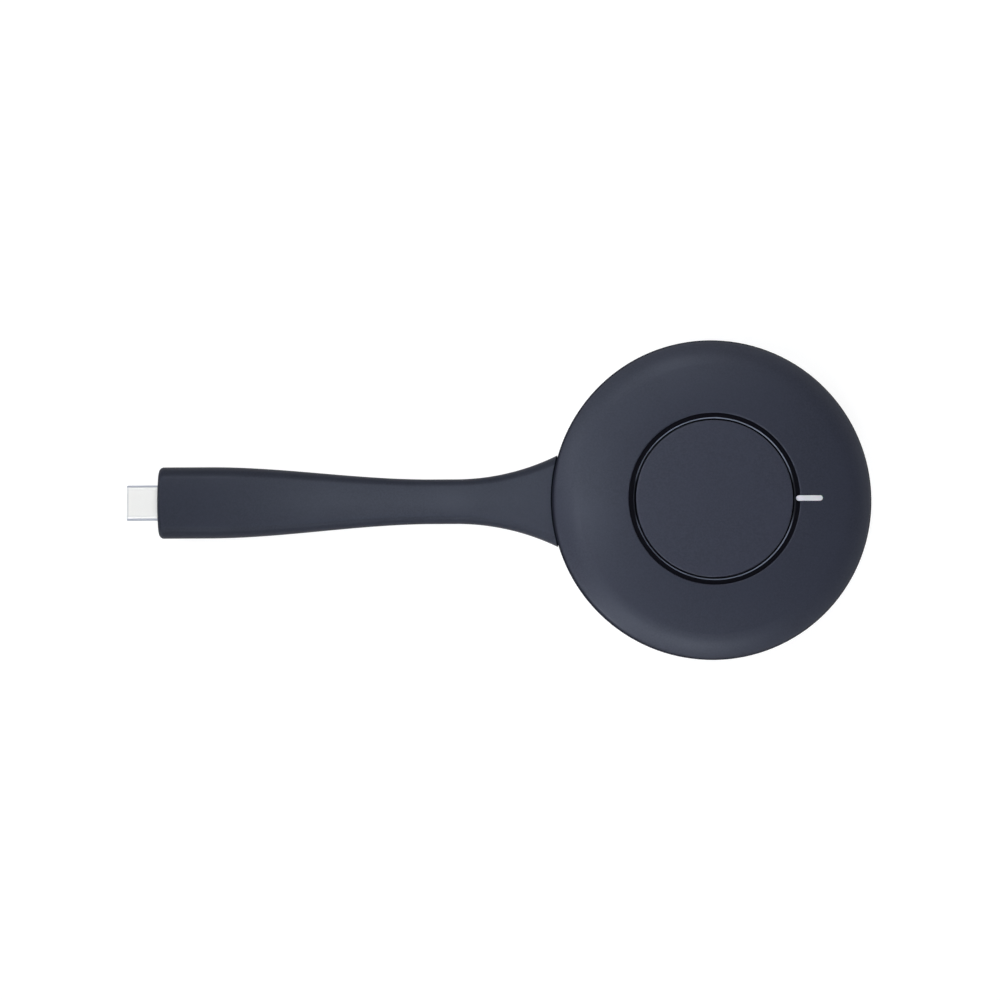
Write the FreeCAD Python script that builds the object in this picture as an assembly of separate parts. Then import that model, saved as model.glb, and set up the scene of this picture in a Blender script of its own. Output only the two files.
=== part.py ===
"""Wireless screen sharing dongle: a round puck with a press button, a flexible neck and a USB-C plug.

Millimetres, +Z up. The origin is on the puck's axis, in the plane of the rubber foot. The neck and
the plug run along -X, and the status bar on the puck points along +X.
"""

import math
import os

import FreeCAD
import Part
from FreeCAD import Vector

# How far forms run into each other where they join, and cutters past what they cut
weld = 0.2
cut_over = 1.0

# Puck, outside
puck_radius = 37.2
puck_height = 14.8
wall = 1.8
dome_edge_slope = 3.0
dome_end_slope = 9.5
shoulder_end_slope = 38.0
shoulder_width = 6.0
rim_extra = 0.3
parting_height = 7.0
reveal_height = 0.4
side_step = 0.1
bowl_radius = 8.0
base_edge_radius = 0.5
lip_thickness = 0.8
lip_height = 1.4
lip_clearance = 0.1
lip_root = 1.0

# Rubber foot and floor
foot_proud = 0.5
foot_thickness = 1.2
foot_inset = 7.7
foot_edge = 0.25
foot_clearance = 0.15
floor_thickness = 1.4

# Opening, light ring and button
dome_width = 17.4
opening_edge = 0.3
collar_thickness = 1.5
collar_depth = 3.4
ring_width = 1.35
ring_recess = 0.35
ring_lip_width = 0.4
ring_lip_drop = 0.2
ring_flange_width = 1.2
ring_flange_thickness = 1.0
seat_clearance = 0.05
button_gap = 0.3
button_proud = 0.05
button_crown = 0.3
button_edge = 0.25
button_thickness = 1.6
button_travel = 0.4
button_stop_gap = 0.3
skirt_thickness = 1.1

# Status bar, a white light pipe that starts inside the ring's edge
bar_overlap = 0.9
bar_length = 6.15
bar_width = 1.25
bar_depth = 2.2
bar_clearance = 0.04
pipe_length = 2.4

# Parts under the button
retainer_wall = 0.9
retainer_floor = 0.8
ledge_reach = 4.0
ledge_thickness = 0.8
ledge_height = 2.6
guide_clearance = 0.1
hook_gap = 0.2
hook_thickness = 0.9
hook_barb = 1.1
barb_height = 1.1
barb_gap = 0.1
hook_angle = 20.0
hook_count = 4
barb_lead = 0.3
foam_inset = 1.0
foam_width = 1.8
foam_rib_inset = 0.3
foam_thickness = 1.6
rib_thickness = 1.0
rib_depth = 1.2
plunger_radius = 2.4
switch_width = 6.2
switch_height = 3.4
stem_radius = 1.7
stem_clearance = 0.15
stem_proud = 0.6
stem_sunk = 0.5
stem_room = 0.2
leg_reach = 1.0
leg_width = 0.7
leg_thickness = 0.3
leg_inset = 0.9

# Circuit board and what it carries
board_inset = 5.9
board_thickness = 1.0
board_flat_margin = 0.6
board_hole_clearance = 0.3
processor_width = 12.0
processor_height = 1.0
memory_length = 5.0
memory_width = 3.2
memory_height = 0.9
regulator_length = 3.2
regulator_width = 1.6
regulator_height = 0.8
coil_radius = 1.9
coil_height = 1.5
chip_spacing = 1.6
spreader_gap = 1.0
spreader_thickness = 0.6
pad_overhang = 0.5
pad_thickness = 0.8
led_height = 0.7
led_length = 1.6
led_width = 0.9
led_count = 12
led_clearance = 0.2
board_screw_margin = 3.1
board_screw_angles = (0.0, 100.0, 260.0)
standoff_radius = 2.0
shield_height = 1.8
shield_wall = 0.2
shield_corner = 0.5
shield_margin = 1.0
radio_length = 12.0
radio_gap = 1.7
radio_angle = 72.0
power_length = 10.0
power_gap = 2.1
power_angle = 288.0
antenna_margin = 1.3
antenna_thickness = 0.3
antenna_height = 3.2
antenna_span = 22.0
antenna_slot_height = 0.3
antenna_slot_span = 0.75
antenna_angles = (22.0, 338.0)

# Screws
screw_count = 4
screw_angle = 45.0
screw_radius = 1.0
screw_head_radius = 1.8
screw_head_height = 1.1
screw_length = 8.0
screw_clearance = 0.15
thread_clearance = 0.03
thread_room = 0.5
thread_end_wall = 0.4
tower_radius = 3.0
tower_gap = 0.1
boss_radius = 2.7
boss_gap = 0.8
small_screw_radius = 0.7
small_head_radius = 1.4
small_head_height = 0.7
small_screw_length = 3.0
small_screw_clearance = 0.1
small_thread_room = 0.2
driver_slot = 0.5
slot_reach = 0.6

# Neck and grip, one soft moulding
neck_height = 6.0
overall_reach = 128.6
grip_length = 12.0
grip_half_width = 8.3
grip_half_height = 3.5
waist_length = 5.5
waist_to_puck = 22.3
waist_half_width = 5.22
waist_half_height = 2.4
flare_radius = 54.0
flare_half_height = 2.9
neck_roundness = 0.92
corner_limit = 0.98
grip_end_radius = 110.0
grip_end_edge = 1.0
neck_clearance = 0.1
neck_reveal = 0.3
neck_reveal_depth = 0.35
flange_reach = 2.2
flange_thickness = 2.2
neck_section_spacing = 6.0

# Cable inside the neck
cable_radius = 1.7
cable_clearance = 0.05
cable_end_margin = 9.6
clamp_width = 3.0
clamp_length = 13.0
clamp_height = 1.8
clamp_squeeze_gap = 0.2
clamp_hump = 1.2
clamp_screw_spacing = 9.0
clamp_from_end = 1.2
wire_radius = 0.36
wire_count = 4
wire_pitch = 0.85
wire_drop_start = 0.18
wire_drop_end = 0.5
bend_share = 0.45
header_length = 7.0
header_width = 3.0
header_height = 1.5
header_wall = 0.25
header_side_wall = 0.5
header_back_wall = 0.8
header_margin = 6.6
connector_length = 2.4
connector_engaged = 1.6
connector_side_gap = 0.1
connector_height_gap = 0.05

# Plug end
plug_width = 8.25
plug_height = 2.4
plug_reach = 7.2
plug_wall = 0.3
plug_inside = 4.4
plug_edge = 0.12
close_fit = 0.01
tongue_width = 6.75
tongue_height = 1.1
insulator_recess = 0.5
insulator_clearance = 0.05
contact_count = 12
contact_pitch = 0.5
contact_width = 0.26
contact_thickness = 0.12
contact_recess = 1.6
contact_overlap = 1.6
latch_thickness = 0.2
latch_length = 5.0
latch_seat = 0.02
latch_gap = 0.08
card_width = 8.8
card_length = 11.5
card_thickness = 0.8
card_gap = 0.1
card_to_cable = 2.2
card_pad_length = 1.2
wire_seat = 0.02
wire_side_gap = 0.1
mould_front_wall = 1.4
mould_length = 20.0
mould_half_width = 7.1
mould_half_height = 2.7
mould_corner_radius = 1.6
mould_clearance = 0.05
snout_length = 5.0
snout_wall = 0.35
snout_step = 0.15
can_wall = 0.25
can_gap = 0.1
can_half_height = 1.75
can_corner_radius = 0.6
can_overhang = 1.0
can_front_gap = 0.05

# Heights that follow from the sizes above
floor_top = foot_thickness + floor_thickness
floor_middle = foot_thickness + floor_thickness / 2
spreader_top = floor_top + spreader_thickness
pad_top = spreader_top + pad_thickness
board_bottom = pad_top + processor_height
board_top = board_bottom + board_thickness
collar_bottom = puck_height - collar_depth
ring_seat = collar_bottom - ring_flange_thickness
cap_top = puck_height + button_proud
cap_bottom = cap_top - button_thickness
guide_bottom = board_top + retainer_floor
ledge_bottom = board_top + ledge_height
ledge_top = ledge_bottom + ledge_thickness
foam_top = ledge_top + foam_thickness
switch_top = board_top + switch_height
stem_top = switch_top + stem_proud
stem_bottom = switch_top - stem_sunk
cover_joint_top = parting_height + reveal_height / 2
cover_joint_bottom = parting_height - reveal_height / 2
tower_top = parting_height - tower_gap
screw_head_bottom = foot_thickness + screw_clearance
clamp_bottom = neck_height + clamp_squeeze_gap / 2
clamp_top = clamp_bottom + clamp_height
connector_middle = board_bottom - header_height / 2
hook_root = cap_bottom + weld
card_half_thickness = min(card_thickness / 2, tongue_height / 2 - contact_thickness - 2 * close_fit)

# The lamps start half a step from +X, and the cap's ribs half way between its hooks
half_step = 180.0 / led_count
rib_angle = 180.0 / hook_count

# Radii about the puck's axis
opening_radius = puck_radius - dome_width
ring_inner = opening_radius - ring_width
button_radius = ring_inner - button_gap
channel_inner = ring_inner + seat_clearance
channel_outer = opening_radius + ring_flange_width + guide_clearance
retainer_inner = channel_inner - retainer_wall
retainer_outer = channel_outer + retainer_wall
ledge_inner = retainer_inner - ledge_reach
hook_outer = ledge_inner - hook_gap
hook_inner = hook_outer - hook_thickness
foam_inner = ledge_inner + foam_inset
foam_outer = foam_inner + foam_width
lamp_circle = (channel_inner + channel_outer) / 2
lip_inner = puck_radius - wall
lip_outer = lip_inner + lip_thickness
side_radius = puck_radius - side_step
rim_radius = wall + rim_extra
foot_radius = puck_radius - foot_inset
screw_circle = retainer_outer + boss_gap + boss_radius
board_radius = puck_radius - board_inset
board_flat = retainer_outer + board_flat_margin
board_screw_circle = board_radius - board_screw_margin
antenna_circle = board_radius - antenna_margin
radio_width = board_radius - shield_margin - retainer_outer - radio_gap
power_width = board_radius - shield_margin - retainer_outer - power_gap

# Half the width of the can in the grip
can_half_width = card_width / 2 + can_gap + can_wall

# Places along the length: the status bar on the +X side, the neck and the plug on the -X side
bar_start = opening_radius - bar_overlap
bar_end = bar_start + bar_length
junction_x = -math.sqrt(puck_radius**2 - (2 * waist_half_width) ** 2)
flange_outer = puck_radius - wall
flange_inner = flange_outer - flange_thickness
waist_end_x = -puck_radius - waist_to_puck
waist_start_x = waist_end_x - waist_length
grip_end_x = -overall_reach
grip_start_x = grip_end_x + grip_length
plug_tip_x = grip_end_x - plug_reach
plug_rear_x = grip_end_x + plug_inside
mould_front_x = grip_end_x + mould_front_wall
mould_rear_x = mould_front_x + mould_length
card_front_x = plug_rear_x + card_gap
card_rear_x = card_front_x + card_length
can_rear_x = card_rear_x + can_overhang
cable_front_x = card_rear_x + card_to_cable
cable_rear_x = cable_end_margin - puck_radius
clamp_x = cable_rear_x - clamp_from_end - clamp_width / 2
header_x = header_margin - board_flat
header_front_x = header_x - header_width
spreader_radius = -header_x - spreader_gap
connector_front_x = header_front_x - connector_length + connector_engaged


def cylinder(radius, bottom, top, x=0.0, y=0.0):
    """Upright cylinder between two heights."""
    return Part.makeCylinder(radius, top - bottom, Vector(x, y, bottom))


def block(x0, x1, y0, y1, z0, z1):
    """Box between two corners."""
    return Part.makeBox(x1 - x0, y1 - y0, z1 - z0, Vector(x0, y0, z0))


def joined(shapes):
    """One solid of several that touch."""
    first, *rest = shapes
    return first.fuse(rest).removeSplitter() if rest else first


def around(shape, count, start=0.0):
    """Copies of a shape evenly spaced about the puck's axis."""
    return [turned(shape, start + 360.0 * i / count) for i in range(count)]


def turned(shape, angle):
    """A copy turned about the puck's axis."""
    copy = shape.copy()
    copy.rotate(Vector(0, 0, 0), Vector(0, 0, 1), angle)
    return copy


def at_polar(shape, circle, angle):
    """A copy of a shape made at the origin, moved out to a circle and turned to face the axis."""
    copy = shape.copy()
    copy.translate(Vector(circle, 0, 0))
    return turned(copy, angle)


def ring_point(radius, height):
    """A point of a profile that is turned about the puck's axis."""
    return Vector(radius, 0, height)


def turned_solid(edges, angle=360.0):
    """Solid made by turning a closed profile about the puck's axis."""
    wire = Part.Wire(Part.__sortEdges__(edges))
    solid = Part.Face(wire).revolve(Vector(0, 0, 0), Vector(0, 0, 1), angle)
    return solid.Solids[0]


def polyline(points):
    """Straight edges through points, leaving out steps of no length."""
    pairs = zip(points[:-1], points[1:])
    return [Part.makeLine(a, b) for a, b in pairs if a.distanceToPoint(b) > 1e-6]


def ring_of(points, angle=360.0):
    """Solid turned from a closed polygon of (radius, height) corners."""
    corners = [ring_point(r, z) for r, z in points]
    return turned_solid(polyline(corners + corners[:1]), angle)


def arc_through(centre, radius, start, end):
    """Edge on a circle in the profile plane, between two slopes below the horizontal, in degrees."""
    points = [slope_point(centre, radius, a) for a in (start, (start + end) / 2, end)]
    return Part.Arc(*points).toShape()


def slope_point(centre, radius, slope):
    """Point of a convex arc where its surface falls at this slope."""
    a = math.radians(slope)
    return ring_point(centre[0] + radius * math.sin(a), centre[1] + radius * math.cos(a))


def rounded_section(x, half_width, half_height, corner):
    """Closed wire across the neck: a rectangle with round corners, in the plane at x."""
    corner = min(corner, corner_limit * half_height, corner_limit * half_width)
    flat_y = half_width - corner
    flat_z = half_height - corner
    turn = corner * (1 - math.sqrt(0.5))
    edges = []
    for sy, sz in ((1, 1), (-1, 1), (-1, -1), (1, -1)):
        side = Vector(x, sy * half_width, neck_height + sz * flat_z)
        top = Vector(x, sy * flat_y, neck_height + sz * half_height)
        middle = Vector(x, sy * (half_width - turn), neck_height + sz * (half_height - turn))
        first, last = (side, top) if sy * sz > 0 else (top, side)
        edges.append((first, middle, last))
    wire = []
    for i, (first, middle, last) in enumerate(edges):
        wire.append(Part.Arc(first, middle, last).toShape())
        wire.append(Part.makeLine(last, edges[(i + 1) % 4][0]))
    return Part.Wire(wire)


def bar_along(x0, x1, half_width, half_height, corner):
    """Rounded bar along the neck's axis."""
    face = Part.Face(rounded_section(x0, half_width, half_height, corner))
    return face.extrude(Vector(x1 - x0, 0, 0))


def rod_along(x0, x1, radius, y=0.0, z=0.0):
    """Round rod along X, from the neck's axis by y and z."""
    return Part.makeCylinder(radius, x1 - x0, Vector(x0, y, neck_height + z), Vector(1, 0, 0))


def stadium(x0, x1, width, bottom, top):
    """Upright bar with round ends, from x0 to x1."""
    r = width / 2
    middle = block(x0 + r, x1 - r, -r, r, bottom, top)
    return joined([middle, cylinder(r, bottom, top, x0 + r), cylinder(r, bottom, top, x1 - r)])


# The puck's outer curve has three arcs: dome, shoulder and rim. Each centre follows from the one before it.
def dome_arcs():
    """(centre, radius, start slope, end slope) of the three outer arcs, from the opening outwards."""
    a0, a1, a2 = (math.radians(a) for a in (dome_edge_slope, dome_end_slope, shoulder_end_slope))
    start_r = opening_radius + opening_edge
    rim_r = puck_radius - rim_radius * (1 - math.sin(a2))
    shoulder_r = puck_radius - shoulder_width
    dome = (shoulder_r - start_r) / (math.sin(a1) - math.sin(a0))
    shoulder = (rim_r - shoulder_r) / (math.sin(a2) - math.sin(a1))
    centre_1 = (start_r - dome * math.sin(a0), puck_height - dome * math.cos(a0))
    end_1 = slope_point(centre_1, dome, dome_end_slope)
    centre_2 = (end_1.x - shoulder * math.sin(a1), end_1.z - shoulder * math.cos(a1))
    end_2 = slope_point(centre_2, shoulder, shoulder_end_slope)
    centre_3 = (end_2.x - rim_radius * math.sin(a2), end_2.z - rim_radius * math.cos(a2))
    return [
        (centre_1, dome, dome_edge_slope, dome_end_slope),
        (centre_2, shoulder, dome_end_slope, shoulder_end_slope),
        (centre_3, rim_radius, shoulder_end_slope, 90.0),
    ]


def dome_height(radius):
    """Height of the puck's outer surface at a radius on the dome or the shoulder."""
    for (cr, cz), arc, _, end in dome_arcs():
        if radius <= slope_point((cr, cz), arc, end).x:
            return cz + math.sqrt(arc**2 - (radius - cr) ** 2)
    return parting_height


def dome_solid(inset=0.0):
    """Everything under the puck's outer curve, or under its inner face when inset by the wall."""
    arcs = [arc_through(c, r - inset, a, b) for c, r, a, b in dome_arcs()]
    start = slope_point(dome_arcs()[0][0], dome_arcs()[0][1] - inset, dome_edge_slope)
    end = ring_point(puck_radius - inset, dome_arcs()[2][0][1])
    corners = [end, ring_point(end.x, parting_height), ring_point(0, parting_height)]
    corners += [ring_point(0, start.z), start]
    return turned_solid(arcs + polyline(corners))


def bowl_solid(inset, bottom, top):
    """The lower half's curved side, filled, or its inner face when inset by the wall."""
    radius = bowl_radius - inset
    centre = (side_radius - bowl_radius, cover_joint_bottom)
    foot_slope = math.asin(min(1.0, (centre[1] - bottom) / radius))
    middle = foot_slope / 2
    points = [
        ring_point(centre[0] + radius * math.cos(a), centre[1] - radius * math.sin(a))
        for a in (0.0, middle, foot_slope)
    ]
    corners = [points[2], ring_point(0, bottom), ring_point(0, top)]
    corners += [ring_point(points[0].x, top), points[0]]
    return turned_solid([Part.Arc(*points).toShape()] + polyline(corners))


def inner_space(gap):
    """The hollow of the closed housing, drawn in by a gap."""
    upper = dome_solid(wall + gap)
    lower = bowl_solid(wall + gap, floor_top + gap, parting_height)
    return joined([upper, lower])


def neck_half_width(x):
    """Half the neck's width: parallel grip, smooth taper to the waist, and a round flare into the puck."""
    if x <= grip_start_x:
        return grip_half_width
    if x < waist_start_x:
        return grip_half_width + (waist_half_width - grip_half_width) * taper(x)
    if x <= waist_end_x:
        return waist_half_width
    run = x - waist_end_x
    return waist_half_width + flare_radius - math.sqrt(flare_radius**2 - run**2)


def neck_half_height(x):
    """Half the neck's thickness along the same three stretches."""
    if x <= grip_start_x:
        return grip_half_height
    if x < waist_start_x:
        return grip_half_height + (waist_half_height - grip_half_height) * taper(x)
    if x <= waist_end_x:
        return waist_half_height
    share = (x - waist_end_x) / (junction_x - waist_end_x)
    return waist_half_height + (flare_half_height - waist_half_height) * min(1.0, share) ** 2


def taper(x):
    """Share of the way from grip to waist, with no slope at either end."""
    t = (x - grip_start_x) / (waist_start_x - grip_start_x)
    return t * t * (3 - 2 * t)


def stations(x0, x1):
    """Evenly spaced places along the neck."""
    count = max(1, round((x1 - x0) / neck_section_spacing))
    return [x0 + (x1 - x0) * i / count for i in range(count + 1)]


def neck_section(x, half_width, half_height, side_round):
    """Closed wire across the neck: round sides, and a slightly crowned top and bottom tangent to them."""
    reach = half_width - side_round
    crown = (reach**2 + half_height**2 - side_round**2) / (2 * (half_height - side_round))
    slope = math.asin(reach / (crown - side_round))
    joint_y = crown * math.sin(slope)
    joint_z = half_height - crown * (1 - math.cos(slope))
    corners = [(joint_y, joint_z), (-joint_y, joint_z), (-joint_y, -joint_z), (joint_y, -joint_z)]
    middles = [(0, half_height), (-half_width, 0), (0, -half_height), (half_width, 0)]
    arcs = []
    for i, middle in enumerate(middles):
        points = (corners[i], middle, corners[(i + 1) % 4])
        arcs.append(Part.Arc(*[Vector(x, y, neck_height + z) for y, z in points]).toShape())
    return Part.Wire(arcs)


def neck_skin(extra=0.0):
    """The neck's outer form from the grip's end to inside the puck's wall, grown by extra."""

    def section(x):
        tall = neck_half_height(x)
        return neck_section(x, neck_half_width(x) + extra, tall + extra, neck_roundness * tall + extra)

    def bar(x0, x1):
        return Part.Face(section(x0)).extrude(Vector(x1 - x0, 0, 0))

    def loft(x0, x1):
        return Part.makeLoft([section(x) for x in stations(x0, x1)], True, False)

    return joined(
        [
            bar(grip_end_x - cut_over, grip_start_x),
            loft(grip_start_x, waist_start_x),
            bar(waist_start_x, waist_end_x),
            loft(waist_end_x, junction_x),
            bar(junction_x, -flange_inner),
        ]
    )


def grip_end_shaped(skin):
    """The grip with its end face bowed outwards and its end edges rounded."""
    centre_x = grip_end_x + grip_end_radius
    keep = cylinder(grip_end_radius, -puck_height, 2 * puck_height, centre_x)
    keep = joined([keep, block(centre_x, 0, -puck_radius, puck_radius, -puck_height, 2 * puck_height)])
    shaped = skin.common(keep).Solids[0]
    ends = [f for f in shaped.Faces if f.CenterOfMass.x < grip_end_x + grip_end_edge / 2]
    edges = ends[0].Edges
    return shaped.makeFillet(grip_end_edge, edges)


def inner_mould_form(extra=0.0):
    """Outer form of the rigid mould in the grip: a rounded block with a cone round the cable."""
    body = bar_along(
        mould_front_x - extra,
        mould_rear_x + extra,
        mould_half_width + extra,
        mould_half_height + extra,
        mould_corner_radius,
    )
    cone = Part.makeCone(
        mould_half_height - snout_step + extra,
        cable_radius + snout_wall + extra,
        snout_length + extra,
        Vector(mould_rear_x, 0, neck_height),
        Vector(1, 0, 0),
    )
    return joined([body, cone])


def plug_form(x0, x1, inset=0.0):
    """The plug's outline, a bar with fully round sides, along the neck's axis."""
    return bar_along(x0, x1, plug_width / 2 - inset, plug_height / 2 - inset, plug_height / 2 - inset)


def neck_overmould():
    """Soft neck and grip in one moulding, with a flange that is trapped behind the puck's wall."""
    skin = grip_end_shaped(neck_skin())
    flange = ring_of(
        [
            (flange_inner, 0),
            (flange_outer - neck_clearance, 0),
            (flange_outer - neck_clearance, puck_height),
            (flange_inner, puck_height),
        ]
    )
    half = neck_half_width(junction_x) + flange_reach
    tall = flare_half_height + flange_reach
    window = block(-puck_radius, 0, -half, half, neck_height - tall, neck_height + tall)
    flange = flange.common(window).common(inner_space(neck_clearance)).Solids[0]
    skin = joined([skin, flange]).cut(neck_reveal_ring())
    hollow = [
        rod_along(mould_rear_x, 0, cable_radius + cable_clearance),
        inner_mould_form(mould_clearance),
        plug_form(grip_end_x - plug_reach, mould_front_x, -mould_clearance),
    ]
    return skin.cut(hollow).Solids[0]


def neck_reveal_ring():
    """What the neck loses where it goes through the puck's wall, and a little way outside it."""
    outside = joined(
        [
            bowl_solid(-neck_reveal, foot_proud, cover_joint_bottom),
            cylinder(puck_radius + neck_reveal, cover_joint_bottom, puck_height),
        ]
    )
    return outside.cut([inner_space(0.0), neck_skin(-neck_reveal_depth)])


def neck_cutter():
    """The neck's form in the puck's wall and a hair more, to cut its way through."""
    return neck_skin(neck_clearance - neck_reveal_depth)


def screw(radius, head_radius, head_height, length):
    """Round-headed screw with a cross slot, head down at the origin and shank up."""
    head = cylinder(head_radius, 0, head_height)
    shank = cylinder(radius, head_height, head_height + length)
    reach = slot_reach * head_radius
    half = driver_slot / 2
    slots = [
        block(-reach, reach, -half, half, 0, head_height / 2),
        block(-half, half, -reach, reach, 0, head_height / 2),
    ]
    return joined([head, shank]).cut(slots)


def top_cover():
    """Domed upper shell with the opening's collar, four bosses, and room for neck and status bar."""
    arcs = [arc_through(c, r, a, b) for c, r, a, b in dome_arcs()]
    inner = [arc_through(c, r - wall, a, b) for c, r, a, b in dome_arcs()]
    (c1, r1, a1, _), _, (c3, _, _, _) = dome_arcs()
    edge_start = ring_point(opening_radius, puck_height - opening_edge)
    edge_end = slope_point(c1, r1, a1)
    edge_mid = ring_point(
        opening_radius + opening_edge * (1 - math.sqrt(0.5)),
        puck_height - opening_edge * (1 - math.sqrt(0.5)),
    )
    inner_start = slope_point(c1, r1 - wall, a1)
    collar_outer = opening_radius + collar_thickness
    corners = [
        ring_point(puck_radius, c3[1]),
        ring_point(puck_radius, cover_joint_top),
        ring_point(lip_outer + lip_clearance, cover_joint_top),
        ring_point(lip_outer + lip_clearance, cover_joint_bottom + lip_height + lip_clearance),
        ring_point(puck_radius - wall, cover_joint_bottom + lip_height + lip_clearance),
        ring_point(puck_radius - wall, c3[1]),
    ]
    shell = turned_solid(
        [Part.Arc(edge_start, edge_mid, edge_end).toShape()]
        + arcs
        + polyline(corners)
        + inner
        + polyline([inner_start, ring_point(opening_radius, inner_start.z), edge_start])
    )
    collar = ring_of(
        [
            (opening_radius, collar_bottom),
            (collar_outer, collar_bottom),
            (collar_outer, inner_start.z + wall / 2),
            (opening_radius, inner_start.z + wall / 2),
        ]
    )
    boss_top = dome_height(screw_circle + boss_radius) - wall / 2
    boss = cylinder(boss_radius, parting_height, boss_top, screw_circle)
    cover = joined([shell, collar] + around(boss, screw_count, screw_angle))
    screw_tip = screw_head_bottom + screw_head_height + screw_length
    hole_top = min(boss_top - thread_end_wall, screw_tip + thread_room)
    pilot = cylinder(screw_radius + thread_clearance, parting_height, hole_top, screw_circle)
    cover = cover.cut(around(pilot, screw_count, screw_angle) + [neck_cutter(), bar_slot()])
    return cover.Solids[0]


def bar_slot():
    """Slot that the status bar sits in, through the dome and the collar."""
    start = bar_start - bar_clearance
    end = bar_end + bar_clearance
    width = bar_width + 2 * bar_clearance
    slot = stadium(start, end, width, puck_height - bar_depth, 2 * puck_height)
    return joined([slot, pipe_form(bar_clearance, board_top, puck_height)])


def pipe_form(extra, bottom, top):
    """The bar's lower light pipe, under its outer end."""
    return stadium(bar_end - pipe_length - extra, bar_end + extra, bar_width + 2 * extra, bottom, top)


def status_bar():
    """White light pipe whose face is flush with the dome."""
    face = stadium(bar_start, bar_end, bar_width, puck_height - bar_depth, puck_height)
    pipe = pipe_form(0.0, guide_bottom, puck_height)
    return joined([face, pipe]).common(dome_solid()).Solids[0]


def light_ring():
    """Smoked ring round the button, with a raised inner lip and a flange trapped under the collar."""
    outer = opening_radius - seat_clearance
    top = puck_height - ring_recess
    ring = ring_of(
        [
            (ring_inner, top - ring_lip_drop),
            (ring_inner + ring_lip_width, top),
            (outer, top),
            (outer, collar_bottom),
            (outer + ring_flange_width, collar_bottom),
            (outer + ring_flange_width, ring_seat),
            (ring_inner, ring_seat),
        ]
    )
    return ring.cut(bar_slot()).Solids[0]


def light_guide():
    """Opal ring that carries light from the lamps on the board up to the smoked ring."""
    inner = channel_inner + guide_clearance
    outer = channel_outer - guide_clearance
    return ring_of([(inner, guide_bottom), (outer, guide_bottom), (outer, ring_seat), (inner, ring_seat)])


def button_retainer():
    """Black frame on the board: a channel for lamps and light guide, and a ledge for the hooks."""
    frame = ring_of(
        [
            (retainer_inner, board_top),
            (retainer_outer, board_top),
            (retainer_outer, ring_seat),
            (channel_outer, ring_seat),
            (channel_outer, guide_bottom),
            (channel_inner, guide_bottom),
            (channel_inner, ring_seat),
            (retainer_inner, ring_seat),
            (retainer_inner, ledge_top),
            (ledge_inner, ledge_top),
            (ledge_inner, ledge_bottom),
            (retainer_inner, ledge_bottom),
        ]
    )
    window = lamp_block(led_clearance, board_top, guide_bottom + cut_over)
    return frame.cut(around(window, led_count, half_step)).Solids[0]


def lamp_block(extra, bottom, top):
    """One lamp of the ring, or its window when grown by extra, at its place on the +X side."""
    half_r = led_width / 2 + extra
    half_t = led_length / 2 + extra
    return block(lamp_circle - half_r, lamp_circle + half_r, -half_t, half_t, bottom, top)


def status_leds():
    """Lamps under the light ring and one under the status bar."""
    lamp = lamp_block(0.0, board_top, board_top + led_height)
    bar_lamp = lamp.copy()
    bar_lamp.translate(Vector(bar_end - pipe_length / 2 - lamp_circle, 0, 0))
    return Part.makeCompound(around(lamp, led_count, half_step) + [bar_lamp])


def button_cap():
    """Round button with a skirt, hooks under the ledge, a rib on the foam and a plunger over the switch."""
    edge = button_edge
    turn = edge * (1 - math.sqrt(0.5))
    crown_radius = button_radius - edge
    crown_arc = (crown_radius**2 + button_crown**2) / (2 * button_crown)
    crown_mid = math.sqrt(crown_arc**2 - crown_radius**2 / 4) - (crown_arc - button_crown)
    crown = Part.Arc(
        ring_point(0, cap_top + button_crown),
        ring_point(crown_radius / 2, cap_top + crown_mid),
        ring_point(crown_radius, cap_top),
    )
    top_edge = ring_point(crown_radius, cap_top)
    mid = ring_point(button_radius - turn, cap_top - turn)
    side_edge = ring_point(button_radius, cap_top - edge)
    skirt_inner = button_radius - skirt_thickness
    skirt_bottom = ring_seat + button_travel + button_stop_gap
    rib_inner = foam_inner + foam_rib_inset
    rib_outer = foam_outer - foam_rib_inset
    corners = [
        side_edge,
        ring_point(button_radius, skirt_bottom),
        ring_point(skirt_inner, skirt_bottom),
        ring_point(skirt_inner, cap_bottom),
        ring_point(rib_outer, cap_bottom),
        ring_point(rib_outer, foam_top),
        ring_point(rib_inner, foam_top),
        ring_point(rib_inner, cap_bottom),
        ring_point(plunger_radius, cap_bottom),
        ring_point(plunger_radius, stem_top),
        ring_point(0, stem_top),
        ring_point(0, cap_top + button_crown),
    ]
    curves = [crown.toShape(), Part.Arc(top_edge, mid, side_edge).toShape()]
    cap = turned_solid(curves + polyline(corners))
    barb_top = ledge_bottom - barb_gap
    barb_bottom = barb_top - barb_height
    hook = ring_of(
        [
            (hook_inner, hook_root),
            (hook_inner, barb_bottom),
            (hook_outer, barb_bottom),
            (hook_outer + hook_barb, barb_top - barb_lead * barb_height),
            (hook_outer + hook_barb, barb_top),
            (hook_outer, barb_top),
            (hook_outer, hook_root),
        ],
        hook_angle,
    )
    rib = block(
        plunger_radius - weld,
        rib_inner + weld,
        -rib_thickness / 2,
        rib_thickness / 2,
        cap_bottom - rib_depth,
        hook_root,
    )
    hooks = around(hook, hook_count, -hook_angle / 2)
    ribs = around(rib, hook_count, rib_angle)
    return joined([cap] + hooks + ribs)


def return_foam():
    """Ring of silicone foam that pushes the button back up."""
    corners = [(foam_inner, ledge_top), (foam_outer, ledge_top), (foam_outer, foam_top)]
    return ring_of(corners + [(foam_inner, foam_top)])


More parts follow.
